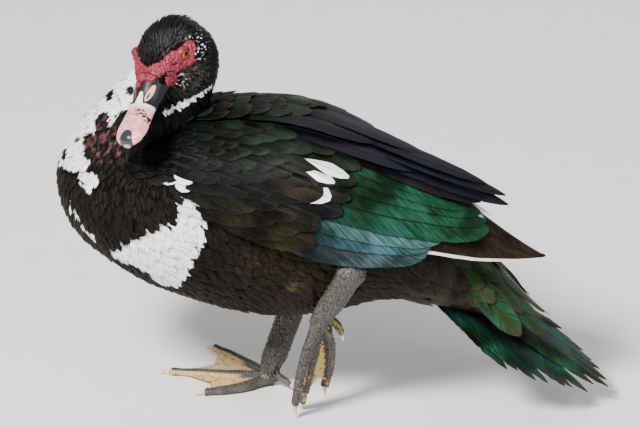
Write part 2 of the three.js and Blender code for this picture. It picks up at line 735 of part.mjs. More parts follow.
// A claw: a bent cone from the end of a toe
function claw(end, along, down, radius, length) {
  const rings = [];
  const steps = 3;
  const side = along.clone().cross(down).normalize();
  const below = side.clone().cross(along);
  for (let i = 0; i <= steps; i++) {
    const s = i / steps;
    const spot = end.clone().addScaledVector(along, GAP + s * length);
    spot.addScaledVector(below, s * s * length * 0.3);
    const size = lerp(radius, 0.5, s);
    rings.push(ring(spot, side, below, size * 0.8, size, size, 6));
  }
  return loft(rings);
}

// Each foot: the toes' paths from the joint to their tips, in the order inner, middle, outer, hind
const TOE_RADIUS = 5.6;
const RIGHT_TOES = [
  [at(-31, 9, 6), at(-48, -5, 4.5), at(-66, -13, 3.6), at(-82, -17, 3)],
  [at(-33, 13, 6.5), at(-60, 14, 4.8), at(-90, 17, 3.7), at(-118, 19, 3)],
  [at(-30, 17, 6), at(-48, 35, 4.5), at(-68, 55, 3.6), at(-86, 70, 3)],
  [at(-24, 9, 10), at(-15, 3, 9), at(-8, -2, 7)],
];
const LEFT_TOES = [
  [at(27, -50, 92), at(31, -42, 66), at(29, -34, 40), at(25, -28, 22)],
  [at(23, -52, 92), at(17, -48, 62), at(11, -41, 32), at(6, -35, 8)],
  [at(21, -56, 92), at(12, -58, 64), at(6, -56, 38), at(2, -52, 14)],
  [at(30, -52, 99), at(38, -51, 92), at(42, -50, 83)],
];
const TOE_NAMES = ["inner", "middle", "outer", "hind"];

function foot(name, legParts, joint, toes, out) {
  const { shank } = legParts;
  const tips = toes.map((path) => {
    const curve = new THREE.CatmullRomCurve3(path);
    return { end: curve.getPoint(1), along: curve.getTangent(1) };
  });
  const toePieces = toes.map((path, i) => {
    const size = i === 3 ? TOE_RADIUS * 0.7 : TOE_RADIUS;
    const body = limb(toeRows(path, size), 7, 6, i === 3 ? UP : out);
    return beyond(body, tips[i].end, tips[i].along.clone().negate(), 0);
  });
  const knuckle = lump(joint, [9.5, 9.5, 8.5], 1);
  const sheets = [web(toes[0], toes[1], out), web(toes[1], toes[2], out)];
  const whole = union([knuckle, ...toePieces, ...sheets]);
  const cut = legParts.down.clone();
  const ankle = joint.clone().addScaledVector(cut, -7);
  node("shank_" + name, beyond(shank, ankle, cut.clone().negate()), "skin");
  const lower = beyond(union([whole, shank]), ankle, cut);
  node("foot_" + name, beyond(lower, at(0, 0, FLOOR), UP, 0), "skin");
  tips.forEach(({ end, along }, i) => {
    const size = i === 3 ? 2.4 : 3;
    const length = i === 3 ? 6 : 11;
    const down = i === 3 ? at(0, 0, -1) : out.clone().negate();
    const nail = claw(end, along, down, size, length);
    node(`claw_${name}_${TOE_NAMES[i]}`, beyond(nail, at(0, 0, FLOOR), UP, 0), "claw");
  });
}

const leftLeg = leg("left", LEFT_LEG);
const rightLeg = leg("right", RIGHT_LEG);
foot("left", leftLeg, at(24, -53, 95), LEFT_TOES, at(-0.84, 0.52, -0.1).normalize());
foot("right", rightLeg, at(-30, 12, 8), RIGHT_TOES, UP);

// The origin goes to the floor under the middle of the bounding box
const box = new THREE.Box3().setFromObject(group);
const middle = box.getCenter(at(0, 0, 0));
group.position.set(-middle.x, -middle.y, -box.min.z);

export default group;
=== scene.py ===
import math

import bpy
import numpy as np
from mathutils import Matrix, Vector
from mathutils.bvhtree import BVHTree
from mathutils.kdtree import KDTree


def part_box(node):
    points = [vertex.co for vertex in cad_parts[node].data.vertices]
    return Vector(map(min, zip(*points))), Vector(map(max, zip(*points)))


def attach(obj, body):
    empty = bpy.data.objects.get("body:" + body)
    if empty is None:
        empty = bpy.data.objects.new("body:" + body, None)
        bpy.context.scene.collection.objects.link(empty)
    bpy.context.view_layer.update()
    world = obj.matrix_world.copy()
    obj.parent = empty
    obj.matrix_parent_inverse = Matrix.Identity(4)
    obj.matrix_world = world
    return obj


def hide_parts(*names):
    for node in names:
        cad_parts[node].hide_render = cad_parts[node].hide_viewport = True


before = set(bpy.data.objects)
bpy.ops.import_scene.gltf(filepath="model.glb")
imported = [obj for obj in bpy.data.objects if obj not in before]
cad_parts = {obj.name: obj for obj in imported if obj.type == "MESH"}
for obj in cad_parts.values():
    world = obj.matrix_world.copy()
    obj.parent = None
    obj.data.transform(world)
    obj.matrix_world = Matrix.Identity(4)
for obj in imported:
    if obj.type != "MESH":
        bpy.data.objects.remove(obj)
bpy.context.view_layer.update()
bpy.ops.object.select_all(action="DESELECT")

# The drake stands with its left side to the viewer, the breast to the left and the head turned
# back along that side. Its sizes are in millimetres from a point on the floor under the body,
# and the eyes of the frame say where that point is.
MM = 0.001
LEFT, RIGHT = -1, 1
HEAD_TURN, HEAD_DIP, HEAD_ROLL, BILL_DIP = (math.radians(a) for a in (70, 14, 13, 12))
head_axes = Matrix(
    (
        (-math.cos(HEAD_TURN), math.sin(HEAD_TURN), 0),
        (-math.sin(HEAD_TURN), -math.cos(HEAD_TURN), 0),
        (0, 0, 1),
    )
).to_4x4()
head_frame = Matrix.Translation((-110, -12, 318)) @ head_axes
head_frame = head_frame @ Matrix.Rotation(HEAD_DIP, 4, "Y") @ Matrix.Rotation(HEAD_ROLL, 4, "X")
bill_frame = head_frame @ Matrix.Translation((35, 0, -6)) @ Matrix.Rotation(BILL_DIP, 4, "Y")
EYE = Vector((9, 21.8, 7.5))

low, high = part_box("eye_left")
from_drawing = (low + high) / 2 - MM * (head_frame @ EYE)


def placed(points):
    """Millimetres on the drawing as metres in the frame."""
    return np.asarray(points, float) * MM + np.array(from_drawing)


def drawn(points):
    """Metres in the frame as millimetres on the drawing."""
    return (np.asarray(points, float) - np.array(from_drawing)) / MM


def moved(points, matrix):
    """Points of the head or the bill on the drawing, or with the inverse the other way."""
    m = np.array(matrix)
    return np.asarray(points, float) @ m[:3, :3].T + m[:3, 3]


def on_bird(head_points):
    """Points of the head as metres in the frame."""
    return placed(moved(head_points, head_frame))


# The skin: one closed surface of breast, belly, back, neck, skull, thigh and the two folded arms,
# grown together with no seam. It is under the feathers by the depth that they lie over it.
BODY_COAT, HEAD_COAT, LIMB_COAT = 2.6, 1.6, 1.5
# x, height, half width, rise above that height and depth below it
TORSO = [
    [-209, 202, 4, 5, 5], [-204, 202, 27, 27, 30], [-190, 198, 49, 46, 51], [-165, 191, 67, 62, 63],
    [-128, 184, 79, 72, 78], [-88, 180, 83, 79, 88], [-48, 177, 83, 83, 95], [-8, 175, 81, 84, 95],
    [32, 173, 76, 76, 86], [72, 166, 66, 62, 67], [112, 147, 49, 46, 48], [150, 119, 30, 24, 23],
    [170, 103, 14, 10, 9], [176, 98, 4, 3, 3],
]
SKULL = [
    [-40, 2, 4, 4, 4], [-35, 1, 16, 14, 17], [-24, 1, 24.5, 21, 24], [-6, 1, 28, 25, 27],
    [10, 0, 27, 23, 26], [23, -2, 21.5, 18.5, 21], [33, -5, 16.5, 13, 15], [40, -6, 14.5, 11, 12],
]
# the shell that the left wing lies on, and that of the right one, tucked in towards the tail
MANTLE = [
    [-165, 212, 48, 30, 40], [-140, 203, 74, 54, 60], [-100, 194, 88, 74, 80], [-50, 188, 93, 84, 90],
    [0, 185, 94, 84, 92], [50, 178, 91, 75, 86], [100, 168, 81, 65, 78], [150, 158, 61, 52, 66],
    [200, 150, 33, 32, 44], [226, 146, 16, 18, 24],
]
TUCK_START, TUCK_RUN, TUCK_DOWN, TUCK_IN = 20, 170, 20, 0.42
# x, y, height, half width and half depth along the middle line
NECK = [
    [-122, 0, 160, 64, 56], [-134, 0, 190, 66, 66], [-139, 0, 218, 60, 63], [-130, -1, 248, 47, 48],
    [-115, -4, 274, 37, 38], [-103, -7, 297, 32, 34], [-100, -7, 315, 31, 33], [-103, -9, 331, 25, 27],
    [-107, -11, 344, 10, 12],
]
THIGH = [[-4, 40, 120, 24, 26], [-6, 30, 100, 20, 20], [-8, 22, 84, 14, 14], [-9, 19, 76, 9, 9]]
# x, lowest and highest angle on the shell, and how far the arm stands off it
ARM = [
    [-146, 28, 64, -7], [-128, 20, 72, -5], [-105, 13, 79, -4], [-70, 9, 84, -2.5],
    [-30, 8, 85, -1], [10, 8, 85, 0], [40, 4, 84, 0],
]
ARM_DEPTH, ARM_EDGE = 18, -7


def eased(t):
    """A share from 0 to 1 with a soft start and end."""
    t = np.clip(t, 0, 1)
    return t * t * (3 - 2 * t)


def tucked(row):
    x, z, width, above, below = row
    t = eased((x - TUCK_START) / TUCK_RUN)
    return [x, z - TUCK_DOWN * t, width * (1 - TUCK_IN * t), above * (1 - TUCK_IN * t), below]


SHELL = {LEFT: MANTLE, RIGHT: [tucked(row) for row in MANTLE]}


def unit(v):
    return v / np.maximum(np.linalg.norm(v, axis=-1, keepdims=True), 1e-12)


def between(rows, t):
    """The smooth row of sizes between the stated rows, t from 0 to 1."""
    rows = np.asarray(rows, float)
    last = len(rows) - 1
    place = np.clip(np.asarray(t, float), 0, 1) * last
    i = np.minimum(place.astype(int), last - 1)
    u = (place - i)[..., None]
    p, q, r, s = (rows[np.clip(i + k, 0, last)] for k in (-1, 0, 1, 2))
    bend = (2 * p - 5 * q + 4 * r - s) * u * u + (3 * q - p - 3 * r + s) * u**3
    return 0.5 * (2 * q + (r - p) * u + bend)


def row_at(rows, x):
    """The same, found by the first column."""
    table = between(rows, np.linspace(0, 1, 400))
    return [np.interp(x, table[:, 0], table[:, c]) for c in range(1, table.shape[1])]


def oval_rings(rows, steps, sides, shrink):
    """Upright oval rings along X, each with its own height above and below the middle."""
    x, z, width, above, below = between(rows, np.linspace(0, 1, steps)).T
    angle = np.linspace(0, 2 * math.pi, sides, endpoint=False)
    rise = np.sin(angle)
    height = np.where(rise > 0, (above - shrink)[:, None], (below - shrink)[:, None])
    y = np.maximum(width - shrink, 1)[:, None] * np.cos(angle)
    return np.stack([x[:, None] + 0 * y, y, z[:, None] + rise * np.maximum(height, 1)], -1)


def limb_rings(rows, steps, sides, shrink):
    """Rings square to a middle line."""
    made = between(rows, np.linspace(0, 1, steps))
    path = made[:, :3]
    along = unit(np.gradient(path, axis=0))
    side = unit(np.array((0.0, 1, 0)) - along[:, 1:2] * along)
    up = np.cross(side, along)
    angle = np.linspace(0, 2 * math.pi, sides, endpoint=False)[:, None]
    width, depth = (np.maximum(made[:, c] - shrink, 1)[:, None, None] for c in (3, 4))
    return path[:, None] + np.cos(angle) * width * side[:, None] + np.sin(angle) * depth * up[:, None]


def on_shell(rows, side, x, degrees, lift):
    """Places on the shell that a folded wing lies on, and the way out of it."""
    x, degrees, lift = np.broadcast_arrays(np.asarray(x, float), degrees, lift)

    def point(px, angle):
        z, width, above, below = row_at(rows, px)
        height = np.sin(angle) * np.where(angle > 0, above, below)
        return np.stack([px, side * np.cos(angle) * width, z + height], -1)

    angle = np.radians(degrees)
    along = point(x + 2, angle) - point(x - 2, angle)
    around = point(x, angle + 0.03) - point(x, angle - 0.03)
    out = -side * unit(np.cross(along, around))
    return point(x, angle) + out * lift[..., None], out


def arm_lift(full, t):
    """How far the arm stands off the shell: rounded down to it along both borders."""
    border = np.clip(np.minimum(t + 0.1, 1.1 - t) * 3.2, 0, 1)
    return ARM_EDGE + (full - ARM_EDGE) * np.sqrt(border)


def arm_rings(side, steps, wide, shrink):
    x, start, end, full = between(ARM, np.linspace(0, 1, steps)).T
    t = np.linspace(0, 1, wide)[None]
    degrees = start[:, None] + (end - start)[:, None] * t
    lift = arm_lift(full[:, None], t) - shrink
    outer, out = on_shell(SHELL[side], side, x[:, None], degrees, lift)
    return np.concatenate([outer, (outer - ARM_DEPTH * out)[:, ::-1]], 1)


def picked(form):
    """Only this form selected, and worked on."""
    bpy.ops.object.select_all(action="DESELECT")
    form.select_set(True)
    bpy.context.view_layer.objects.active = form


def seams_merged(form):
    """The form's doubles merged, and edit mode left on for what comes next."""
    picked(form)
    bpy.ops.object.mode_set(mode="EDIT")
    bpy.ops.mesh.select_all(action="SELECT")
    bpy.ops.mesh.remove_doubles(threshold=1e-6)


def tube(name, rings):
    """A grid rolled up through rings of points, its seam merged and its ends filled."""
    count, sides = rings.shape[:2]
    bpy.ops.mesh.primitive_grid_add(x_subdivisions=sides, y_subdivisions=count - 1, size=1)
    form = bpy.context.object
    form.name = name
    rolled = np.concatenate([rings, rings[:, :1]], 1)
    form.data.vertices.foreach_set("co", placed(rolled).ravel())
    seams_merged(form)
    bpy.ops.mesh.fill_holes(sides=0)
    bpy.ops.mesh.normals_make_consistent(inside=False)
    bpy.ops.object.mode_set(mode="OBJECT")
    return form


def joined(name, forms):
    picked(forms[0])
    for form in forms:
        form.select_set(True)
    bpy.ops.object.join()
    made = bpy.context.object
    made.name = name
    made.data.name = name
    made.select_set(False)
    return made


def grown_together(form, voxel, smoothing):
    """One closed surface round all that the form holds."""
    bpy.context.view_layer.objects.active = form
    remesh = form.modifiers.new("grown", "REMESH")
    remesh.mode = "VOXEL"
    remesh.voxel_size = voxel * MM
    remesh.use_smooth_shade = True
    bpy.ops.object.modifier_apply(modifier="grown")
    soften = form.modifiers.new("softened", "SMOOTH")
    soften.factor = 0.5
    soften.iterations = smoothing
    bpy.ops.object.modifier_apply(modifier="softened")


skin = joined(
    "skin",
    [
        tube("trunk", oval_rings(TORSO, 46, 40, BODY_COAT)),
        tube("neck", limb_rings(NECK, 26, 36, BODY_COAT - 0.4)),
        tube("skull", moved(oval_rings(SKULL, 24, 32, HEAD_COAT), head_frame)),
        tube("thigh", limb_rings(THIGH, 12, 20, LIMB_COAT)),
        tube("left_arm", arm_rings(LEFT, 24, 18, HEAD_COAT)),
        tube("right_arm", arm_rings(RIGHT, 24, 18, HEAD_COAT)),
    ],
)
grown_together(skin, voxel=2.6, smoothing=7)


def ray_tree(form):
    """What finds the nearest place on a form, or the place that a ray meets."""
    return BVHTree.FromObject(form, bpy.context.evaluated_depsgraph_get())


skin_tree = ray_tree(skin)


class Shade:
    """A value or a colour that changes over a surface, with which a finish reckons as with numbers."""

    def __init__(self, socket):
        self.socket = socket

    def __abs__(self):
        return reckoned("ABSOLUTE", self)

    def __add__(self, other):
        return reckoned("ADD", self, other)

    def __sub__(self, other):
        return reckoned("SUBTRACT", self, other)

    def __rsub__(self, other):
        return reckoned("SUBTRACT", other, self)

    def __mul__(self, other):
        return reckoned("MULTIPLY", self, other)

    def __or__(self, other):
        """The greater of two masks."""
        return reckoned("MAXIMUM", self, other)

    def beside(self, name):
        """What else comes out of the same node."""
        return Shade(self.socket.node.outputs[name])


def linked(socket, value):
    if isinstance(value, Shade):
        socket.id_data.links.new(value.socket, socket)
    else:
        socket.default_value = value


def shade(kind, inputs, out=0, tree=None, **settings):
    """What comes out of a new node, in the same tree as what feeds it."""
    if tree is None:
        tree = next(v.socket.id_data for v in inputs.values() if isinstance(v, Shade))
    node = tree.nodes.new("ShaderNode" + kind)
    for key, value in settings.items():
        setattr(node, key, value)
    for key, value in inputs.items():
        linked(node.inputs[key], value)
    return Shade(node.outputs[out])


def reckoned(operation, *values, clamp=False):
    return shade("Math", dict(enumerate(values)), operation=operation, use_clamp=clamp)


def vector(operation, *values, out=0):
    return shade("VectorMath", dict(enumerate(values)), out, operation=operation)


def scaled(colour, share):
    return shade("VectorMath", {0: colour, "Scale": share}, operation="SCALE")


def xyz(place):
    return [Shade(part) for part in shade("SeparateXYZ", {0: place}).socket.node.outputs]


def mixed(share, first, second):
    """From the first colour to the second by a share."""
    colours = {6: first, 7: second}
    for key, colour in colours.items():
        if isinstance(colour, tuple):
            colours[key] = (*colour, 1)
    return shade("Mix", {0: share, **colours}, 2, data_type="RGBA")


def ranged(value, start, end, at_start=0.0, at_end=1.0):
    """A soft step from one value to another."""
    inputs = {0: value, 1: start, 2: end, 3: at_start, 4: at_end}
    return shade("MapRange", inputs, interpolation_type="SMOOTHSTEP")


def noise(place, scale, detail=2.0, rough=0.5):
    return shade("TexNoise", {"Vector": place, "Scale": scale, "Detail": detail, "Roughness": rough})


def shader_group(name, inputs, outputs):
    group = bpy.data.node_groups.new(name, "ShaderNodeTree")
    for way, labels in (("INPUT", inputs), ("OUTPUT", outputs)):
        for label, kind in labels.items():
            group.interface.new_socket(name=label, in_out=way, socket_type="NodeSocket" + kind)
    entry, leave = (group.nodes.new("NodeGroup" + kind) for kind in ("Input", "Output"))
    return group, [Shade(socket) for socket in entry.outputs if socket.name], leave.inputs


def finish(name, **shader):
    material = bpy.data.materials.new(name)
    material.use_nodes = True
    for key, value in shader.items():
        main_shader(material).inputs[key.replace("_", " ")].default_value = value
    return material


def main_shader(material):
    return material.node_tree.nodes["Principled BSDF"]


def object_place(material):
    return shade("TexCoord", {}, "Object", material.node_tree)


def given(material, name, out="Vector"):
    """What each point of the mesh says under this name."""
    return shade("Attribute", {}, out, material.node_tree, attribute_name=name)


def relief(material, height, strength, depth):
    """A fine relief, its depth in millimetres."""
    bump = shade("Bump", {"Strength": strength, "Distance": depth * MM, "Height": height})
    linked(main_shader(material).inputs["Normal"], bump)


def coloured(material, colour):
    linked(main_shader(material).inputs["Base Color"], colour)


def wear(piece, material):
    piece.data.materials.clear()
    piece.data.materials.append(material)


# The markings of the plumage by place: white patches with feathered edges, flecks, and the
# brown and greenish blacks of belly, flank and back. Skin and feathers share them.
BREAST_WHITE = [
    # middle on the drawing, half sizes, how soft its edge is and how far the feathers tear it
    ((-87, -80, 195), (12, 60, 24), 0.04, 0.3),
    ((-92, -78, 180), (14, 60, 20), 0.04, 0.3),
    ((-104, -76, 160), (17, 60, 24), 0.04, 0.3),
    ((-112, -68, 142), (15, 60, 16), 0.05, 0.4),
    ((-108, -76, 168), (22, 60, 23), 0.05, 0.5),
    ((-124, -72, 160), (24, 60, 17), 0.06, 0.7),
    ((-143, -64, 156), (14, 50, 9), 0.08, 0.9),
]
THROAT_WHITE = [
    ((-148, -12, 288), (20, 32, 17), 0.05, 0.35),
    ((-165, -8, 271), (20, 34, 20), 0.05, 0.35),
    ((-186, -8, 250), (19, 36, 22), 0.05, 0.35),
    ((-198, -8, 233), (13, 36, 19), 0.05, 0.35),
    ((-188, -34, 228), (17, 18, 8), 0.1, 0.7),
]
THROAT_BLACK = [
    ((-165, -46, 245), (16, 16, 13), 0.1, 0.7),
    ((-152, -44, 250), (9, 16, 14), 0.1, 0.5),
    ((-165, -28, 262), (7, 9, 9), 0.1, 0.7),
    ((-176, -36, 245), (8, 12, 8), 0.12, 0.9),
]
THROAT_FLECKS = [
    ((-178, -14, 266), (6, 10, 4), 0.15, 0.9),
    ((-200, -22, 228), (4, 7, 5), 0.15, 0.9),
    ((-162, -10, 279), (6, 10, 4), 0.15, 0.9),
    ((-142, -26, 290), (5, 7, 4), 0.15, 0.9),
    ((-190, -22, 243), (5, 6, 4), 0.15, 0.9),
]
SHOULDER_WHITE = [((-175, -54, 219), (11, 12, 5.5), 0.1, 0.6), ((-97, -74, 230), (5, 14, 5), 0.1, 0.9)]
CHEEK_RING = [
    # start and end on the drawing, half width and tear
    ((-109, -40, 277), (-96, -37, 283), 3.2, 2.0),
    ((-96, -37, 283), (-84, -32, 288.5), 3.0, 2.0),
    ((-84, -32, 288.5), (-72, -19, 295), 2.2, 2.2),
    ((-94, -35, 276), (-85, -31, 279), 1.1, 2.4),
]
SHOULDER_LINES = [
    ((-112, -71, 230), (-98, -73, 231), 1.7, 1.6),
    ((-102, -69, 236), (-97, -73, 230), 1.7, 1.6),
]
CHEST_LINES = [
    ((-194, -44, 190), (-186, -52, 180), 4.5, 1.0),
    ((-184, -50, 180), (-174, -55, 168), 3.5, 1.0),
]
BLACK, GREENISH, BELLY_BROWN, CLOUDED = (
    (0.005, 0.004, 0.0036), (0.003, 0.0045, 0.0045), (0.015, 0.0095, 0.006), (0.009, 0.007, 0.0055),
)
CHEEK_GREY, BRONZE, GOLDEN, ROSE = (
    (0.045, 0.04, 0.034), (0.06, 0.054, 0.02), (0.021, 0.0145, 0.0075), (0.09, 0.032, 0.036),
)
SNOW, SHADED_SNOW = (0.94, 0.94, 0.95), (0.86, 0.86, 0.89)

markings, (place,), told = shader_group("markings", {"Place": "Vector"}, {"Color": "Color", "White": "Float"})
to_drawing = {"Location": tuple(Vector(from_drawing) / -MM), "Scale": (1 / MM, 1 / MM, 1 / MM)}
drawing = shade("Mapping", {"Vector": place, **to_drawing})
ragged = noise(drawing, 0.085, 3.0, 0.6)
fleck = noise(drawing, 0.42, 2.0, 0.6)
streak = noise(shade("Mapping", {"Vector": drawing, "Scale": (0.6, 0.6, 0.17)}), 0.5, 2.0)


def blotch(middle, radii, soft, tear):
    """A soft-edged oval of the coat, its border torn by the feathers."""
    away = vector("LENGTH", vector("DIVIDE", vector("SUBTRACT", drawing, middle), radii), out=1)
    shaken = reckoned("MULTIPLY_ADD", ragged - 0.5, tear, away)
    return ranged(shaken, 1 + soft, 1 - soft)


def strip(start, end, half, tear):
    """A narrow mark along a line, its border torn as well."""
    start, end = Vector(start), Vector(end)
    run = end - start
    away = vector("SUBTRACT", drawing, start)
    gone = reckoned("ADD", vector("DOT_PRODUCT", away, run / run.length_squared, out=1), 0.0, clamp=True)
    along = shade("VectorMath", {"Scale": gone, 0: run}, operation="SCALE")
    far = vector("DISTANCE", away, along, out=1)
    shaken = reckoned("MULTIPLY_ADD", fleck - 0.5, tear * half, far)
    return ranged(shaken, half * 1.12, half * 0.88)


def all_of(mark, rows):
    made = mark(*rows[0])
    for row in rows[1:]:
        made = made | mark(*row)
    return made


def without(mask):
    return reckoned("SUBTRACT", 1.0, mask, clamp=True)


def head_flecks(middle, radii, soft, start, end):
    """Flecks in an oval of the head."""
    return blotch(tuple(moved(middle, head_frame)), radii, soft, 0.5) * ranged(fleck, start, end)


parted = all_of(blotch, THROAT_BLACK)
flecks = all_of(blotch, THROAT_FLECKS) | ranged(streak, 0.66, 0.69)
flecks = flecks | blotch((-170, 20, 262), (40, 22, 50), 0.1, 0.5) * ranged(streak, 0.56, 0.6)
white = all_of(blotch, BREAST_WHITE)
white = white | all_of(blotch, THROAT_WHITE) * without(parted) * without(flecks)
white = white | all_of(strip, CHEEK_RING) | all_of(blotch, SHOULDER_WHITE) | all_of(strip, SHOULDER_LINES)
white = white | all_of(strip, CHEST_LINES) * ranged(streak, 0.44, 0.5)
white = white | head_flecks((-3, 32, 9), (10, 11, 14), 0.3, 0.61, 0.635)
white = white | head_flecks((24, 21, -11), (8, 8, 6), 0.3, 0.59, 0.62)
far_back, _, height = xyz(drawing)
base = mixed(ranged(height, 215.0, 250.0), BLACK, GREENISH)
base = mixed(ranged(height, 180.0, 120.0) * ranged(far_back, -75.0, 0.0), base, BELLY_BROWN)
base = mixed(ranged(ragged, 0.4, 0.75), base, CLOUDED)
base = mixed(head_flecks((14, 26, -12), (20, 14, 13), 0.4, 0.42, 0.62), base, CHEEK_GREY)
base = mixed(blotch((-1, -77, 141), (8, 20, 7), 0.35, 0.5) * ranged(streak, 0.3, 0.55), base, BRONZE)
base = mixed(blotch((0, -78, 160), (52, 40, 26), 0.4, 0.8) * ranged(streak, 0.4, 0.65), base, GOLDEN)
base = mixed(parted * ranged(streak, 0.46, 0.6), base, ROSE)
linked(told["Color"], mixed(white, base, mixed(ranged(ragged, 0.3, 0.8), SNOW, SHADED_SNOW)))
linked(told["White"], white)

# Bare skin under the feathers, in the same markings, darkened by a fine noise as painted shade, as it shows
# only in the gaps between the feathers.
under_coat = finish("under_coat", Roughness=0.8, Specular_IOR_Level=0.03)
place = object_place(under_coat)
down = noise(place, 900.0, 2.0)
own = shade("Group", {"Place": place}, node_tree=markings)
# painted shade: the markings darkened to between 0.55 and 0.95 of themselves by a fine noise
coloured(under_coat, scaled(own, ranged(down, 0.3, 0.8, 0.55, 0.95)))
relief(under_coat, down, 0.4, 0.5)
wear(skin, under_coat)
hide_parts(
    "torso", "neck_lower", "neck_upper", "head", "thigh_right", "wing_left", "wing_right", "tail"
)
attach(skin, "root")

# The bare face: crimson skin in close, soft bulbs, from the root of the bill over the lores to a
# ring of lid skin round each eye, with a shorter band below it, a cheek patch and one smooth knob.
RED_BANDS = [
    # middle line on the head, half width at its ends, how big the bulbs are
    (
        [(36, 0, 6.5), (34.5, 6, 7), (32.5, 11, 7.8), (28, 15, 8.6), (22, 18.5, 9.6), (17, 21, 11)],
        (4, 3.4),
        1.15,
    ),
    ([(28, 17.5, 0.6), (23, 21, 0.4), (17, 24, 0.2), (12, 26, -0.4), (6, 27, 0.5)], (2.4, 2.6), 1.05),
]
CHEEK, CHEEK_REACH = np.array((28.5, 17, -6.5)), 5.6
BRIDGE, BRIDGE_HALF = [(37.5, -8, 4), (40, -4, 6), (40.5, 0, 7), (40, 4, 6), (37.5, 8, 4)], 2.7
KNOB, KNOB_RADIUS = (46.6, -3.4, 1.5), 3.3
BULB_GAP = 1.35
BAND_TRIES, CHEEK_TRIES, BRIDGE_TRIES = 900, 700, 500
LID_RING, LID_RING_WIDE, LID_RING_HIGH = (5.6, 9.6), 1.22, 0.86
LID_BULBS = 64
GAZE = Vector((0.34, 0.93, 0.1)).normalized()
GAZE_FORWARD = 0.7
LID_OPENING = (math.radians(64), math.radians(34))
DEEP_RED, BRIGHT_RED = (0.1, 0.002, 0.008), (0.3, 0.012, 0.032)


def along_line(line, count, draw):
    """Random places along a line and the share of the way that each has come."""
    line = np.array(line, float)
    run = np.concatenate([[0], np.cumsum(np.linalg.norm(np.diff(line, axis=0), axis=1))])
    s = draw.random(count)
    return np.stack([np.interp(s * run[-1], run, line[:, c]) for c in range(3)], -1), s


def seated(surface, spot, others):
    """The nearest place on a surface and the way out of it, unless a bulb is there already."""
    place, out, _, _ = surface.find_nearest(Vector(on_bird(spot)))
    if all((place - q).length > BULB_GAP * MM for q, _, _ in others):
        return place, out
    return None


draw = np.random.default_rng(21)
bulbs = []
for side in (1, -1):
    wanted = []
    for line, (start, end), size in RED_BANDS:
        spots, s = along_line(line, BAND_TRIES, draw)
        width = start + (end - start) * s
        spots = spots + draw.uniform(-1, 1, (BAND_TRIES, 3)) * width[:, None]
        wanted += [(p, size) for p in spots]
    angle = draw.uniform(0, 2 * math.pi, BAND_TRIES)
    reach = draw.uniform(*LID_RING, BAND_TRIES)
    wide, high = np.cos(angle) * reach * LID_RING_WIDE, np.sin(angle) * reach * LID_RING_HIGH
    ring = np.stack([wide, 0 * angle + 3, high], -1)
    wanted += [(p, 1.0) for p in np.array(EYE) + ring]
    patch = CHEEK + draw.uniform(-1, 1, (CHEEK_TRIES, 3)) * CHEEK_REACH
    wanted += [(p, 1.0) for p in patch if np.linalg.norm(p - CHEEK) < CHEEK_REACH]
    kept = []
    for p, size in wanted:
        seat = seated(skin_tree, p * (1, side, 1), kept)
        if seat:
            kept.append((*seat, size))
    bulbs += kept
bill_tree = ray_tree(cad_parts["bill_upper"])
bridge, _ = along_line(BRIDGE, BRIDGE_TRIES, draw)
for p in bridge + draw.uniform(-1, 1, (BRIDGE_TRIES, 3)) * BRIDGE_HALF:
    seat = seated(bill_tree, p, bulbs)
    if seat:
        bulbs.append((*seat, 1.1))
red_places = np.array([p for p, _, _ in bulbs])
red_outs = np.array([o for _, o, _ in bulbs])
red_sizes = np.array([s for _, _, s in bulbs]) * draw.uniform(0.8, 1.25, len(bulbs)) * MM

bpy.ops.mesh.primitive_ico_sphere_add(subdivisions=2, radius=1, location=(0, 0, 0))
bulb = bpy.context.object
bulb_points = np.array([v.co for v in bulb.data.vertices])
bulb_faces = np.array([list(p.vertices) for p in bulb.data.polygons])
bpy.data.objects.remove(bulb)


def add_mesh(name, points, starts, corners):
    mesh = bpy.data.meshes.new(name)
    mesh.vertices.add(len(points))
    mesh.vertices.foreach_set("co", np.asarray(points, float).ravel())
    mesh.loops.add(len(corners))
    mesh.loops.foreach_set("vertex_index", corners)
    mesh.polygons.add(len(starts))
    mesh.polygons.foreach_set("loop_start", starts)
    mesh.update(calc_edges=True)
    made = bpy.data.objects.new(name, mesh)
    bpy.context.scene.collection.objects.link(made)
    return made


def balls(name, places, radii):
    """Many balls in one mesh, from one ball."""
    points = places[:, None] + bulb_points[None] * np.reshape(radii, (-1, 1, 1))
    faces = np.arange(len(places))[:, None, None] * len(bulb_points) + bulb_faces[None]
    corners = faces.reshape(-1)
    return add_mesh(name, points.reshape(-1, 3), np.arange(0, len(corners), 3), corners)


def gazing(side):
    """From the eyeball's own axes, with Z out of the pupil, to the head."""
    flip = Matrix.Diagonal((1, side, 1))
    gaze = flip @ GAZE
    middle = flip @ EYE + gaze * GAZE_FORWARD
    return Matrix.Translation(middle) @ gaze.to_track_quat("Z", "Y").to_matrix().to_4x4()


face_skin = [
    balls("bulbs", red_places + red_outs * 0.35 * red_sizes[:, None], red_sizes),
    balls("bed", red_places - red_outs * 1.2 * MM, 2.1 * MM),
    balls("knob", on_bird([KNOB]), KNOB_RADIUS * MM),
]
around = np.linspace(0, 2 * math.pi, LID_BULBS, endpoint=False)
whole = np.stack([np.cos(around), np.sin(around)], -1)
rise = np.sin(LID_OPENING[1] * np.sin(around) * (1 - 0.3 * np.cos(around) ** 2))
edge_of_lid = np.stack([np.sin(LID_OPENING[0] * np.cos(around)), rise], -1)
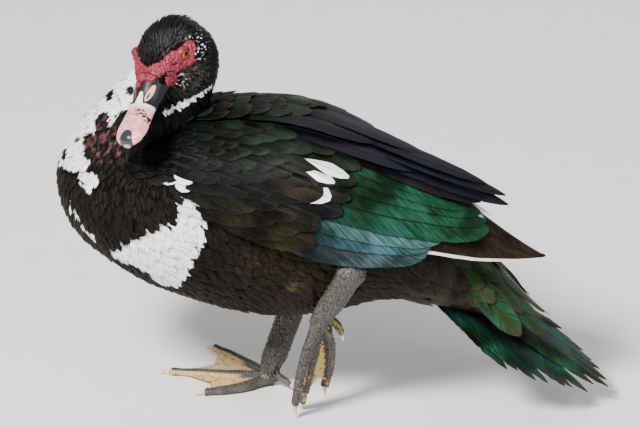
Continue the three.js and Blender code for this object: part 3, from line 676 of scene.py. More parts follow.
# share of the way from the lid's edge to its border, size of its bulbs, their distance and unevenness
lid_rows = [(0, 0.62, 6.1, (0.94, 1.08))]
lid_rows += [(t, 1.15, 5.4, (0.72, 1.28)) for t in np.linspace(0.14, 0.98, 7)]
for side in (1, -1):
    for share, size, radius, uneven in lid_rows:
        flat = edge_of_lid + (whole * 0.99 - edge_of_lid) * share
        up = np.sqrt(np.maximum(1 - (flat**2).sum(1), 0.02))
        spots = np.concatenate([flat, up[:, None]], 1) * radius
        spots = on_bird(moved(spots, gazing(side)))
        face_skin.append(balls("lid", spots, size * draw.uniform(*uneven, LID_BULBS) * MM))
caruncles = joined("caruncles", face_skin)
grown_together(caruncles, voxel=0.42, smoothing=1)

red_skin = finish(
    "red_skin", Roughness=0.46, Subsurface_Weight=0.12, Subsurface_Scale=0.003, Specular_IOR_Level=0.5
)
place = object_place(red_skin)
coloured(red_skin, mixed(ranged(noise(place, 700.0, 3.0), 0.35, 0.7), DEEP_RED, BRIGHT_RED))
relief(red_skin, noise(place, 2600.0), 0.35, 0.4)
wear(caruncles, red_skin)
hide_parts("head")
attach(caruncles, "root")

# Eyes: a dark pupil in an amber-brown iris behind a clear, wet surface that bulges a little.
BALL_RADIUS, BULGE = 5.3, 0.07
IRIS_DARK, IRIS_AMBER = (0.13, 0.05, 0.004), (0.28, 0.13, 0.012)
IRIS_RIM, PUPIL = (0.05, 0.02, 0.008), (0.002, 0.002, 0.003)

eye_shine = finish(
    "eye", Roughness=0.2, Specular_IOR_Level=0.0, Coat_Weight=1.0, Coat_Roughness=0.02, Coat_IOR=1.34
)
iris = given(eye_shine, "iris")
right, up, _ = xyz(iris)
off_axis = reckoned("SQRT", right * right + up * up)
amber = mixed(ranged(noise(iris, 14.0, 3.0), 0.3, 0.7), IRIS_DARK, IRIS_AMBER)
amber = mixed(ranged(off_axis, 0.6, 0.72), amber, IRIS_RIM)
coloured(eye_shine, mixed(ranged(off_axis, 0.37, 0.34), amber, PUPIL))


def marked(form, name, values):
    """Three numbers at each point of a mesh, which its finish reads by this name."""
    layer = form.data.attributes.new(name, "FLOAT_VECTOR", "POINT")
    layer.data.foreach_set("vector", np.ascontiguousarray(values, dtype=np.float32).ravel())


for side, node in ((1, "eye_left"), (-1, "eye_right")):
    bpy.ops.mesh.primitive_uv_sphere_add(segments=48, ring_count=32, radius=BALL_RADIUS, location=(0, 0, 0))
    eye = bpy.context.object
    eye.name = "ball_" + node
    points = np.array([v.co for v in eye.data.vertices])
    points *= (1 + BULGE * eased((points[:, 2] / BALL_RADIUS - 0.62) / 0.38))[:, None]
    eye.data.vertices.foreach_set("co", on_bird(moved(points, gazing(side))).ravel())
    marked(eye, "iris", points / BALL_RADIUS)
    bpy.ops.object.shade_smooth()
    wear(eye, eye_shine)
    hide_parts(node)
    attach(eye, "root")

# The bill: smooth horn over bone, flat and round at its end, with a dark nail, open nostrils in a
# cream rim and a lower half that shuts inside the upper one. It is pink, black at its root and nail,
# with a few black blots on its left side.
UPPER_BILL = [
    [-2, -5, 14.6, 18, 2], [10, -5.3, 13.2, 14, 1.6], [22, -5.8, 12.4, 10, 1.4], [36, -6.3, 13.6, 8, 1.2],
    [48, -7, 14.6, 7, 1], [56, -7.8, 12.6, 6.2, 0.9], [60.5, -8.4, 8.4, 5, 0.8], [63, -9, 2.5, 2.4, 0.7],
]
LOWER_BILL = [
    [-2, -6.3, 12.6, 1.5, 6.4], [14, -6.6, 11.4, 1.5, 4.8], [30, -7.2, 11.4, 1.4, 3.6],
    [46, -8.1, 12.6, 1.2, 3], [56, -9, 9.4, 1, 2.4], [58.5, -9.3, 4, 0.8, 1.4],
]
PINK, PALE_PINK, ROOT_CREAM = (0.6, 0.2, 0.21), (0.8, 0.45, 0.44), (0.86, 0.76, 0.68)
HORN_BLACK, NOSTRIL_RIM, NOSTRIL_SHADOW = (0.008, 0.008, 0.01), (0.62, 0.44, 0.28), (0.03, 0.012, 0.008)
UNDER_BLACK, NAIL, NAIL_TIP = (0.008, 0.008, 0.012), (0.02, 0.023, 0.03), (0.6, 0.48, 0.34)


def nostril(points):
    """The long raised rim high on each side of the bill, and the open slit in its front half."""
    x, y, z = points[..., 0], points[..., 1], points[..., 2]
    aside = np.hypot(np.abs(y) - (7.7 - 0.24 * (x - 15)), z - (4.3 - 0.14 * (x - 15)))
    rim = np.hypot((x - 14.6) / 7.6, aside / 2.6)
    slit = np.hypot((x - 17.4) / 4.0, aside / 0.95)
    return np.clip(2.6 - 2.2 * rim, 0, 1), np.exp(-(slit**4))


def shaped_upper(points):
    """Nostril pits with a raised rim, and the hooked nail."""
    x, y, z = points[..., 0], points[..., 1], points[..., 2]
    rim, slit = nostril(points)
    out = unit(np.stack([0 * x, y, (z + 6) * 0.8], -1))
    points = points + out * (0.9 * rim - 2.0 * slit)[..., None]
    nail = np.exp(-(np.hypot((x - 59) / 5.4, y / 5.2) ** 4)) * (z > -5)
    hook = np.clip((x - 57) / 6, 0, 1) ** 2 * np.exp(-((y / 5) ** 2))
    return points + np.stack([0.7 * nail, 0 * nail, 0.9 * nail - 1.6 * hook], -1)


bill_horn = finish("bill_horn", Roughness=0.32, Specular_IOR_Level=0.5, Coat_Weight=0.15)
bill = given(bill_horn, "bill")
ahead, aside, high = xyz(bill)
cloud = noise(bill, 0.22, 3.0, 0.6)
root_edge = ranged(abs(aside), 1.0, 4.5) * 9.0 + 15.5
black = ranged(ahead + (cloud - 0.5) * 12.0 * 0.5 - root_edge, 0.7, -0.7)
past = ahead - ((aside - 6.0) | 0.0) * 0.75
band = ranged(past, 29.0, 31.0) * ranged(past, 38.5, 36.0) * ranged(aside, -2.0, 2.0)
black = black | band * ranged(noise(bill, 0.42, 2.0, 0.6), 0.485, 0.505)
pink = mixed(ranged(cloud, 0.3, 0.7), PINK, PALE_PINK)
pink = mixed(ranged(ahead, 31.0, 24.0), pink, ROOT_CREAM)
horn_colour = mixed(black, pink, HORN_BLACK)
rim, slit, _ = xyz(given(bill_horn, "nostril"))
horn_colour = mixed(ranged(rim, 0.15, 0.4) * ranged(aside, -4.0, 0.0, 0.12, 1.0), horn_colour, NOSTRIL_RIM)
# painted shadow: the open slit of each nostril in near black, for the shade inside it
horn_colour = mixed(ranged(slit, 0.35, 0.7), horn_colour, NOSTRIL_SHADOW)
horn_colour = mixed(ranged(high, -6.6, -7.2) * ranged(ahead, 58.0, 54.0), horn_colour, UNDER_BLACK)
from_nail = reckoned("DIVIDE", ahead - 60.0, 1.35)
from_nail = reckoned("SQRT", from_nail * from_nail + aside * aside)
horn_colour = mixed(ranged(from_nail, 6.6, 5.9), horn_colour, NAIL)
coloured(bill_horn, mixed(ranged(ahead, 62.2, 63.2), horn_colour, NAIL_TIP))
relief(bill_horn, noise(bill, 0.75, 3.0, 0.6), 0.2, 0.3)

for name, rows, shape, node in (
    ("upper_half_of_bill", UPPER_BILL, shaped_upper, "bill_upper"),
    ("lower_half_of_bill", LOWER_BILL, np.copy, "bill_lower"),
):
    rings = oval_rings(rows, 120, 96, 0)
    points = shape(rings).reshape(-1, 3)
    marks = np.stack([*nostril(rings), 0 * rings[..., 0]], -1).reshape(-1, 3)
    horn = tube(name, moved(points, bill_frame).reshape(rings.shape))
    local = moved(drawn([v.co for v in horn.data.vertices]), bill_frame.inverted())
    nearest = KDTree(len(points))
    for n, p in enumerate(points):
        nearest.insert(p, n)
    nearest.balance()
    marked(horn, "bill", local)
    marked(horn, "nostril", marks[[nearest.find(p)[1] for p in local]])
    horn.data.polygons.foreach_set("use_smooth", np.ones(len(horn.data.polygons), bool))
    wear(horn, bill_horn)
    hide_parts(node)
    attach(horn, "root")

# Body plumage: small rounded feathers rooted in the skin that lie back from the bill over each
# other, finest on the face and neck. Black-brown, with the white patch on the breast, the white
# and black neck and the white ring under the cheek.
FLOW = [
    # place on the drawing, then the way that the feathers lie there
    [(-120, -42, 300), (-0.2, -0.3, -1)], [(-75, -15, 292), (0.3, -0.1, -1)],
    [(-70, 15, 296), (0.3, 0.1, -1)], [(-143, -20, 289), (-0.6, 0, -0.8)],
    [(-169, -18, 267), (-0.7, -0.1, -0.8)], [(-194, -17, 237), (-0.3, -0.1, -1)],
    [(-200, 0, 215), (0, 0, -1)], [(-125, -45, 268), (-0.3, -0.1, -1)],
    [(-155, -51, 236), (0, -0.2, -1)], [(-85, -30, 270), (0.2, -0.5, -1)],
    [(-165, -60, 205), (0.35, -0.1, -1)], [(-187, -49, 182), (0.4, -0.1, -1)],
    [(-197, 0, 170), (0.3, 0, -1)], [(-165, -40, 140), (0.9, 0, -0.6)],
    [(-160, 0, 125), (1, 0, -0.4)], [(-120, -78, 190), (0.8, 0, -0.6)],
    [(-100, -80, 165), (0.9, 0, -0.45)], [(-60, -50, 100), (1, 0, -0.12)],
    [(0, 0, 82), (1, 0, 0)], [(60, 0, 100), (1, 0, 0.25)],
    [(-30, -80, 150), (1, 0, -0.3)], [(40, -70, 150), (1, 0, -0.2)],
    [(92, -52, 133), (1, 0, -0.25)], [(120, 0, 100), (1, 0, -0.4)],
    [(160, 0, 85), (1, 0, -0.7)], [(-60, 0, 258), (1, 0, 0)],
    [(40, 0, 245), (1, 0, -0.2)], [(100, 0, 205), (1, 0, -0.5)],
    [(150, 0, 145), (1, 0, -0.8)], [(-6, 34, 84), (-0.05, -0.15, -1)],
    [(-4, 62, 115), (0.2, -0.3, -1)], [(-8, 14, 80), (-0.05, 0.15, -1)],
]
HEAD_FLOW = [
    # the same on the head
    [(36, 0, 8), (-0.5, 0, 1)], [(36, 12, 2), (-0.4, 0.6, 0.3)], [(33, 12, -12), (-0.6, 0.5, -0.5)],
    [(0, 0, 27), (-1, 0, 0)], [(-30, 0, 15), (-0.5, 0, -1)], [(-38, 0, 0), (-0.1, 0, -1)],
    [(0, 28, 0), (-1, 0, -0.2)], [(20, 18, -14), (-0.8, 0, -0.6)], [(-20, 22, 0), (-0.7, 0, -0.7)],
    [(0, 0, -26), (-1, 0, -0.4)],
]
OUTLINES = {
    # share of the way from root to tip, share of the half width there
    "round": [(0, 0.5), (0.25, 0.86), (0.55, 1), (0.78, 0.93), (0.92, 0.62), (1, 0.18)],
    "long": [(0, 0.45), (0.2, 0.85), (0.5, 1), (0.75, 0.93), (0.9, 0.62), (0.97, 0.3), (1, 0.08)],
    "blunt": [(0, 0.5), (0.2, 0.88), (0.5, 1), (0.82, 0.97), (0.92, 0.8), (0.97, 0.52), (1, 0.12)],
    "narrow": [(0, 0.6), (0.35, 1), (0.7, 0.75), (1, 0.08)],
}
# the lowest angle at which a folded wing's coverts grow, from the shoulder back
COVERT_EDGE = np.array([(-146, 36), (-128, 34), (-105, 29), (-82, 21), (-60, 13), (-30, 8), (60, 4)])
BARE_FACE = 35.5
EYE_CLEAR, RED_CLEAR = 8, 1.5
HEAD_GAP, BODY_GAP, NECK_FINER, THIGH_GAP = 2.0, 4.25, 1.5, 3.6


def both_sides(flow, matrix):
    """Places and ways, and the same on the bird's other side."""
    rows = [(np.array(p, float), np.array(d, float)) for p, d in flow]
    rows += [(p * (1, -1, 1), d * (1, -1, 1)) for p, d in rows if abs(p[1]) > 5]
    turn = np.array(matrix)[:3, :3].T
    return moved([p for p, _ in rows], matrix), unit(np.array([d for _, d in rows])) @ turn


body_lie, head_lie = both_sides(FLOW, Matrix.Identity(4)), both_sides(HEAD_FLOW, head_frame)
lie_places, lie_ways = (np.concatenate(parts) for parts in zip(body_lie, head_lie))


def lie(points, normals):
    """The way the coat lies at each place, along the skin."""
    apart = np.linalg.norm(points[:, None] - lie_places[None], axis=-1)
    way = 1 / (apart + 4) ** 3.2 @ lie_ways
    return flattened(way, normals)


def flattened(way, normals):
    """A way turned to run along the surface."""
    return unit(way - (way * normals).sum(-1, keepdims=True) * normals)


def skin_samples(form, count, seed):
    """Even random places on a surface, with the way out of it at each."""
    mesh = form.data
    mesh.calc_loop_triangles()
    corners = np.empty(len(mesh.loop_triangles) * 3, int)
    mesh.loop_triangles.foreach_get("vertices", corners)
    tri = points_of(form, "co")[corners.reshape(-1, 3)]
    cross = np.cross(tri[:, 1] - tri[:, 0], tri[:, 2] - tri[:, 0])
    area = np.linalg.norm(cross, axis=1)
    draw = np.random.default_rng(seed)
    pick = draw.choice(len(tri), count, p=area / area.sum())
    a, b = draw.random((2, count, 1))
    a, b = np.where(a + b > 1, 1 - a, a), np.where(a + b > 1, 1 - b, b)
    where = tri[pick, 0] + a * (tri[pick, 1] - tri[pick, 0]) + b * (tri[pick, 2] - tri[pick, 0])
    return where, unit(cross[pick])


def points_of(form, what):
    """The places of a mesh's points, or the way out at each."""
    values = np.empty(len(form.data.vertices) * 3)
    form.data.vertices.foreach_get(what, values)
    return values.reshape(-1, 3)


def spread(points, spacing):
    """Indices of points that keep their own spacing, in metres, from one another."""
    kept, grid = [], {}
    keys = np.floor(points / float(spacing.max())).astype(int)
    near = [(i, j, k) for i in (-1, 0, 1) for j in (-1, 0, 1) for k in (-1, 0, 1)]
    for n in range(len(points)):
        x, y, z = keys[n]
        p, r = points[n], spacing[n] ** 2
        others = (q for i, j, k in near for q in grid.get((x + i, y + j, z + k), ()))
        if all((p[0] - q[0]) ** 2 + (p[1] - q[1]) ** 2 + (p[2] - q[2]) ** 2 >= r for q in others):
            grid.setdefault((x, y, z), []).append(tuple(p))
            kept.append(n)
    return np.array(kept)


def followed(surface, roots, normals, way, length, stations, sunk, rise):
    """Middles of feathers that follow a surface from their roots, and the way out of each."""
    points, outs = [roots], [normals]
    for _ in range(2):
        ahead = points[-1] + way * length[:, None] / 2
        hits = [surface.find_nearest(Vector(p)) for p in ahead]
        spot = np.array([h[0] for h in hits])
        out = unit(np.array([h[1] for h in hits]) + 0.5 * outs[-1])
        way = flattened(unit(spot - points[-1]), out)
        points.append(spot)
        outs.append(out)
    s = np.linspace(0, 1, stations)[None, :, None]
    blend = ((1 - s) * (1 - 2 * s), 4 * s * (1 - s), s * (2 * s - 1))
    middle = sum(b * p[:, None] for b, p in zip(blend, points))
    out = unit(sum(b * o[:, None] for b, o in zip(blend, outs)))
    lift = np.reshape(rise, (-1, 1, 1)) * s**1.5 - sunk * (1 - s) ** 2
    return middle + out * lift, out


def outline(name, stations):
    """A feather's share of its half width from the root to the tip."""
    s, share = np.array(OUTLINES[name]).T
    return np.interp(np.linspace(0, 1, stations), s, share)


def smoothed(form):
    """Round where faces meet softly, with its real edges kept."""
    form.data.polygons.foreach_set("use_smooth", np.ones(len(form.data.polygons), bool))
    picked(form)
    bpy.ops.object.shade_smooth_by_angle(angle=math.radians(50))
    form.select_set(False)


def vanes(name, middle, out, half, shape, thickness, cup, across, seed, ragged=0.0, patch=3.0, **told):
    """Feathers as thin closed vanes in one mesh, in millimetres but for their middles."""
    count, stations = middle.shape[:2]
    half = np.reshape(half, (count, -1)) * (outline(shape, stations) if shape else 1) * MM
    thickness = thickness * MM
    draw = np.random.default_rng(seed)
    side = unit(np.cross(unit(np.gradient(middle, axis=1)), out))
    out = np.cross(side, unit(np.gradient(middle, axis=1)))
    t = np.linspace(-1, 1, across)
    s = np.linspace(0, 1, stations)
    widths = half[:, :, None] * t
    if ragged:
        nick = 1 - ragged * draw.random((count, stations, across))
        widths = widths * np.where(np.abs(t) > 0.99, nick, 1)
    dip = cup * half[:, :, None] * t**2
    quill = thickness * 0.6 * (1 - np.abs(t)) ** 3 * (across > 3)
    crown = out[:, :, None] * (quill - dip)[..., None]
    top = middle[:, :, None] + side[:, :, None] * widths[..., None] + crown
    slim = thickness * (1.15 - 0.7 * s)[:, None] * (1 - t[1:-1] ** 4 * 0.5)
    below = top[:, :, 1:-1] - out[:, :, None] * slim[..., None]
    rings = np.concatenate([top, below[:, :, ::-1]], 2)

    # each feather is a closed tube of rings, from a cap at its root to a cap at its tip
    sides = rings.shape[2]
    ring = np.arange(sides)
    onward = (ring + 1) % sides
    level = np.arange(stations - 1)[:, None] * sides
    quads = np.stack([level + ring, level + onward, level + onward + sides, level + ring + sides], -1)
    one = np.concatenate([quads.ravel(), ring[::-1], (stations - 1) * sides + ring])
    corners = (np.arange(count)[:, None] * stations * sides + one).ravel()
    lengths = np.array([4] * (sides * (stations - 1)) + [sides, sides])
    offsets = np.concatenate([[0], np.cumsum(lengths)[:-1]])
    starts = (np.arange(count)[:, None] * lengths.sum() + offsets).ravel()
    made = add_mesh(name, rings.reshape(-1, 3), starts, corners)

    # what its finish reads: the place on the vane with the feather's own draw, its size and its root
    aside = np.concatenate([t, t[1:-1][::-1]])
    vane = np.empty((count, stations, sides, 3))
    vane[..., 0] = aside
    vane[..., 1] = s[None, :, None]
    vane[..., 2] = draw.random((count, 1, 1))
    size = np.zeros((count, 3))
    size[:, 0] = half.max(1)
    size[:, 1] = np.linalg.norm(np.diff(middle, axis=1), axis=-1).sum(1)
    marked(made, "vane", vane)
    for label, values in {"size": size, "root": middle[:, 0], **told}.items():
        marked(made, label, np.broadcast_to(np.asarray(values)[:, None, None], vane.shape))
    spot = np.stack([aside * 0.5 + 0 * s[:, None], s[:, None] - 0.5 + 0 * aside], -1)
    flat = (skin_unwrap(middle[:, 0])[:, None, None] + patch * MM * spot).reshape(-1, 2)
    uv = made.data.uv_layers.new(name="OFBake")
    uv.data.foreach_set("uv", np.ascontiguousarray(flat[corners], dtype=np.float32).ravel())
    smoothed(made)
    return made


# the skin's own unwrap, on a coarser copy, is where each feather finds its patch
pattern = skin.copy()
pattern.data = skin.data.copy()
bpy.context.scene.collection.objects.link(pattern)
grown_together(pattern, voxel=5, smoothing=2)
picked(pattern)
bpy.ops.object.mode_set(mode="EDIT")
bpy.ops.mesh.select_all(action="SELECT")
bpy.ops.uv.smart_project(angle_limit=math.radians(66), island_margin=0.004)
bpy.ops.object.mode_set(mode="OBJECT")
pattern_tree = ray_tree(pattern)
pattern_uv = np.empty(len(pattern.data.loops) * 2)
pattern.data.uv_layers.active.data.foreach_get("uv", pattern_uv)
pattern_uv = pattern_uv.reshape(-1, 2)
pattern_starts = [p.loop_start for p in pattern.data.polygons]
pattern_corners = [[pattern.data.vertices[v].co.copy() for v in p.vertices] for p in pattern.data.polygons]
bpy.data.objects.remove(pattern)


def skin_unwrap(places):
    """Where each place on the skin lies on its flat pattern."""
    made = []
    for place in places:
        _, _, face, _ = pattern_tree.find_nearest(Vector(place))
        weights = [1 / ((c - Vector(place)).length + 1e-5) ** 2 for c in pattern_corners[face]]
        start = pattern_starts[face]
        made.append(sum(w * pattern_uv[start + i] for i, w in enumerate(weights)) / sum(weights))
    return np.array(made)


def on_arm(points):
    """Which places on the drawing are on a folded arm, where the wing's own coverts grow."""
    x = points[:, 0]
    along, _, end, _ = between(ARM, np.linspace(0, 1, 200)).T
    found = np.zeros(len(points), bool)
    for side in (LEFT, RIGHT):
        z, width, above, below = row_at(SHELL[side], x)
        up = (points[:, 2] - z) / np.where(points[:, 2] > z, above, below)
        out = side * points[:, 1] / width
        degrees, reach = np.degrees(np.arctan2(up, out)), np.hypot(up, out)
        inside = (degrees > np.interp(x, *COVERT_EDGE.T) + 3) & (degrees < np.interp(x, along, end) - 1)
        found |= inside & (x > -140) & (x < 42) & (reach > 0.895) & (reach < 1.12) & (points[:, 2] < 282)
    return found


where, facing = skin_samples(skin, count=130000, seed=4)
spot = drawn(where)
x, y, z = spot.T
at_head = moved(spot, head_frame.inverted())
on_head = (at_head[:, 0] > -44) & (np.abs(at_head[:, 1]) < 36) & (at_head[:, 2] > -30) & (z > 290)
neckness = np.clip((z - 215) / 60, 0, 1) * np.clip((-60 - x) / 20, 0, 1)
gap = np.where(on_head, HEAD_GAP, BODY_GAP - NECK_FINER * neckness)
gap = np.where((z < 110) & (x > -30) & (x < 16) & (y > 5), THIGH_GAP, gap)
usable = np.nonzero(~(on_head & (at_head[:, 0] > BARE_FACE) | on_arm(spot)))[0]
usable = usable[spread(where[usable], gap[usable] * MM)]
bare = np.zeros(len(usable), bool)
for i, n in enumerate(usable):
    if on_head[n]:
        bare[i] = np.linalg.norm(red_places - where[n], axis=1).min() < RED_CLEAR * MM
for side in (1, -1):
    eye_middle = on_bird(np.array((EYE.x, side * EYE.y, EYE.z)))
    bare |= np.linalg.norm(where[usable] - eye_middle, axis=1) < EYE_CLEAR * MM
usable = usable[~bare]
ways = lie(spot[usable], facing[usable])
head_part = on_head[usable]
neck_part = ~head_part & (neckness[usable] > 0.12)
leg_part = ~head_part & (gap[usable] < 4) & ~neck_part
body_part = ~(head_part | neck_part | leg_part)
front_part, left_part = x[usable] < -72, y[usable] < 0

# the vane of a feather: fine barbs that run out and back from the quill, and a paler, worn rim
barbs, (vane, size), told = shader_group(
    "vane",
    {"Vane": "Vector", "Size": "Vector"},
    {"Barb": "Float", "Streak": "Float", "Rim": "Float", "Quill": "Float"},
)
BARB_SLANT, BARB_PITCH = 1.25, 8.5
aside, along, own = xyz(vane)
half_width, length, _ = xyz(size)
off_quill = abs(aside)
across_mm = off_quill * half_width * 1000.0
barb_place = along * length * 1000.0 - across_mm * BARB_SLANT
linked(told["Barb"], reckoned("MULTIPLY_ADD", reckoned("SINE", barb_place * BARB_PITCH), 0.5, 0.5))
barb_spot = shade("CombineXYZ", {0: barb_place, 1: across_mm * 0.12, 2: own * 90.0})
linked(told["Streak"], noise(barb_spot, 0.55, 3.0, 0.65))
linked(told["Rim"], ranged(along, 0.8, 0.97) | ranged(off_quill, 0.78, 0.98))
linked(told["Quill"], ranged(off_quill, 0.1, 0.03))


def barbs_of(material):
    return shade(
        "Group", {"Vane": given(material, "vane"), "Size": given(material, "size")}, node_tree=barbs
    )


def marks_of(material, own):
    """The markings, by a share between each feather's own root and the very place."""
    ends = {4: given(material, "root"), 5: object_place(material)}
    here = shade("Mix", {0: own, **ends}, 1, data_type="VECTOR")
    return shade("Group", {"Place": here}, node_tree=markings)


def plumage(name, own, rim_colour, bump, **shader):
    """The finish of small feathers: each takes its own shade of the marking where it is rooted."""
    material = finish(name, **shader)
    marks, barb = marks_of(material, own), barbs_of(material)
    dark = 1.0 - marks.beside("White")
    lot = ranged(xyz(given(material, "vane"))[2], 0.0, 1.0, 0.78, 1.22)
    colour = scaled(marks, lot * dark + (1.0 - dark))
    colour = mixed(barb.beside("Rim") * dark * 0.5, colour, rim_colour)
    coloured(material, scaled(colour, ranged(barb.beside("Streak"), 0.35, 0.7, 0.8, 1.12)))
    relief(material, barb, bump, 0.3)
    return material


body_plumage = plumage(
    "body_plumage", 0.55, (0.013, 0.009, 0.006), 0.3, Roughness=0.46, Specular_IOR_Level=0.06
)
face_plumage = plumage(
    "face_plumage", 0.8, (0.011, 0.011, 0.012), 0.2, Roughness=0.38, Specular_IOR_Level=0.12
)
neck_plumage = plumage(
    "neck_plumage", 0.8, (0.011, 0.01, 0.009), 0.25, Roughness=0.46, Specular_IOR_Level=0.05
)


def coat(name, chosen, material, seed, length, half, stations, sunk, rise, thickness, cup, shape, **more):
    """A stretch of the coat, one feather to each chosen root."""
    n = usable[chosen]
    count = len(n)
    draw = np.random.default_rng(seed)
    long = length * draw.uniform(0.82, 1.18, count) * MM
    wide = half * draw.uniform(0.85, 1.15, count)
    turn = draw.normal(0, 0.13, count)[:, None]
    way = unit(ways[chosen] * np.cos(turn) + np.cross(facing[n], ways[chosen]) * np.sin(turn))
    rises = rise * draw.uniform(0.75, 1.25, count) * MM
    middle, out = followed(skin_tree, where[n], facing[n], way, long, stations, sunk * MM, rises)
    made = vanes(name, middle, out, wide, shape, thickness, cup, seed=seed, **more)
    wear(made, material)
    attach(made, "root")


coat(
    "head_feathers", head_part, face_plumage, 31,
    length=7, half=1.4, stations=5, sunk=0.5, rise=1.9, thickness=0.22, cup=0.3, shape="narrow", across=3,
)
coat(
    "neck_feathers", neck_part, neck_plumage, 32,
    length=12, half=2.3, stations=6, sunk=0.8, rise=1.7, thickness=0.22, cup=0.25, shape="narrow", across=3,
)
for name, part, seed in (
    ("breast_feathers_left", front_part & left_part, 33),
    ("breast_feathers_right", front_part & ~left_part, 35),
    ("flank_feathers_left", ~front_part & left_part, 36),
    ("flank_feathers_right", ~front_part & ~left_part, 37),
):
    coat(
        name, body_part & part, body_plumage, seed,
        length=17.5, half=4.1, stations=6, sunk=1.2, rise=2.0, thickness=0.25, cup=0.25, shape="round",
        across=5, ragged=0.16,
    )
coat(
    "thigh_feathers", leg_part, body_plumage, 34,
    length=12, half=3.6, stations=6, sunk=0.8, rise=1.8, thickness=0.25, cup=0.25, shape="round", across=3,
)

# The crest: glossy black feathers on the crown and nape, longer towards the back, that the bird
# can raise. They lie back here, with their ends just lifted.
CROWN_MIDDLE, CROWN_HALF = np.array((-6, 0, 1)), np.array((31, 25.5, 25))
CREST_ROWS, CREST_COUNT, CREST_STATIONS = 22, 17, 8

draw = np.random.default_rng(7)
crest_roots = []
for row in range(CREST_ROWS):
    back = row / (CREST_ROWS - 1)
    over, step = math.radians(30 + 122 * back), math.radians(6.2 + 2.4 * back)
    for j in range(CREST_COUNT):
        leant = over + draw.normal(0, 0.03)
        column = j - (CREST_COUNT - 1) / 2 + 0.5 * (row % 2)
        crest_roots.append((leant, column * step + draw.normal(0, 0.03), back))
over, sideways, back = np.array(crest_roots).T[..., None]
length = np.radians(20 + 22 * back + draw.uniform(-4, 4, back.shape))
s = np.linspace(0, 1, CREST_STATIONS)[None]
w = sideways + draw.normal(0, 0.05, back.shape) * s
angle = over + length * s
ball = np.stack([np.cos(angle) * np.cos(w), np.sin(w) + 0 * angle, np.sin(angle) * np.cos(w)], -1)
out = unit(ball / CROWN_HALF)
lift = -1.6 + (3.2 + 3.6 * back + draw.uniform(-0.8, 1.2, back.shape)) * s**0.9
crest = vanes(
    "crest",
    on_bird(ball * CROWN_HALF + CROWN_MIDDLE + out * lift[..., None]),
    out @ np.array(head_frame)[:3, :3].T,
    1.55 + 0.5 * back,
    "narrow",
    thickness=0.3,
    cup=0.3,
    across=3,
    seed=8,
)
wear(crest, face_plumage)
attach(crest, "root")

# The folded wings: rows of scale-like coverts over the arm, from small ones at the shoulder to
# broad ones at the back, then the flight feathers in tiers, with the primaries lowest and the
# tertials on top. Green, teal and blue-black, with white on three coverts and along the primaries.
BARK, EARTH, OLIVE = (0.004, 0.003, 0.0028), (0.01, 0.006, 0.004), (0.007, 0.006, 0.0022)
GREEN, TEAL, SEA = (0.007, 0.038, 0.02), (0.019, 0.055, 0.063), (0.028, 0.07, 0.067)
INK, DUSK = (0.0012, 0.0015, 0.0045), (0.024, 0.042, 0.045)
NIGHT, MOSS = (0.0018, 0.0023, 0.003), (0.0032, 0.0085, 0.0036)
GILT_DARK, GILT, WORN_BROWN = (0.005, 0.02, 0.005), (0.027, 0.066, 0.014), (0.045, 0.03, 0.02)
VANE_WHITE, QUILL_BROWN = (0.85, 0.86, 0.88), (0.02, 0.014, 0.01)
GREATER = [
    # the three broad coverts that end in white: path as x and angle, half width, lift, colour and
    # what is white
    ([(-26, 53), (10, 52), (48, 47)], 7.5, 4.4, MOSS, (0.5, 0.0, 1.0)),
    ([(-26, 47.5), (10, 46.5), (37, 41.5)], 6.5, 4.0, MOSS, (0.5, 0.0, 1.0)),
    ([(-30, 38), (6, 36), (35, 32)], 12.5, 4.2, OLIVE, (0.0, 1.0, 1.0)),
]
LEFT_FLIGHT = [
    # root, middle and tip as x and angle, half width, outline, lift, colour, white below, white above
    ([(-6, 20), (110, 20), (214, 11)], 9, "long", -4.6, EARTH, 1, 0),
    ([(-6, 27), (110, 28), (206, 12)], 9.5, "long", -4.9, EARTH, 0, 0),
    ([(-6, 34), (110, 37), (198, 18)], 9.5, "long", -4.7, EARTH, 0, 0),
    ([(-6, 41), (112, 46), (190, 25)], 9.5, "long", -4.5, EARTH, 0, 0),
    ([(-6, 48), (114, 62), (186, 36)], 9.5, "long", -4.3, EARTH, 0, 0),
    ([(-6, 60), (120, 106), (215, 12)], 9.5, "long", -3.9, EARTH, 0, 1),
    ([(2, 1), (62, -2), (119, 14)], 14.5, "blunt", -2.4, DUSK, 0, 0),
    ([(-4, 13), (60, 9), (123, 20)], 12.5, "blunt", -1.8, TEAL, 0, 0),
    ([(-12, 22), (64, 16), (131, 26)], 13, "blunt", -1.5, SEA, 0, 0),
    ([(-12, 31), (84, 26), (166, 39)], 15.5, "blunt", -1.1, GREEN, 0, 0),
    ([(-12, 39), (82, 37), (163, 48)], 13, "blunt", -0.8, GREEN, 0, 0.4),
    ([(-12, 46), (80, 46), (158, 54)], 13, "blunt", -0.5, GREEN, 0, 0),
    ([(-12, 54), (74, 52), (148, 57)], 13, "blunt", -0.1, GREEN, 0, 0),
    ([(-12, 61), (64, 58), (130, 60)], 12, "blunt", 0.3, GREEN, 0, 0),
    ([(-24, 68), (92, 66), (154, 58)], 12.5, "long", 1.1, BARK, 0, 0),
    ([(-26, 73), (92, 72), (175, 64)], 13, "long", 1.6, INK, 0, 0),
    ([(-30, 80), (80, 79), (172, 73)], 14, "long", 2.1, INK, 0, 0),
    ([(-36, 86), (64, 86), (156, 78)], 14, "long", 2.6, INK, 0, 0),
    ([(-34, 71), (44, 70), (104, 69)], 14, "long", 3.3, INK, 0, 0),
    ([(-46, 91), (20, 91), (112, 86)], 14, "long", 3.4, INK, 0, 0),
    ([(-60, 79), (0, 79), (66, 78)], 15, "long", 4.1, INK, 0, 0),
]
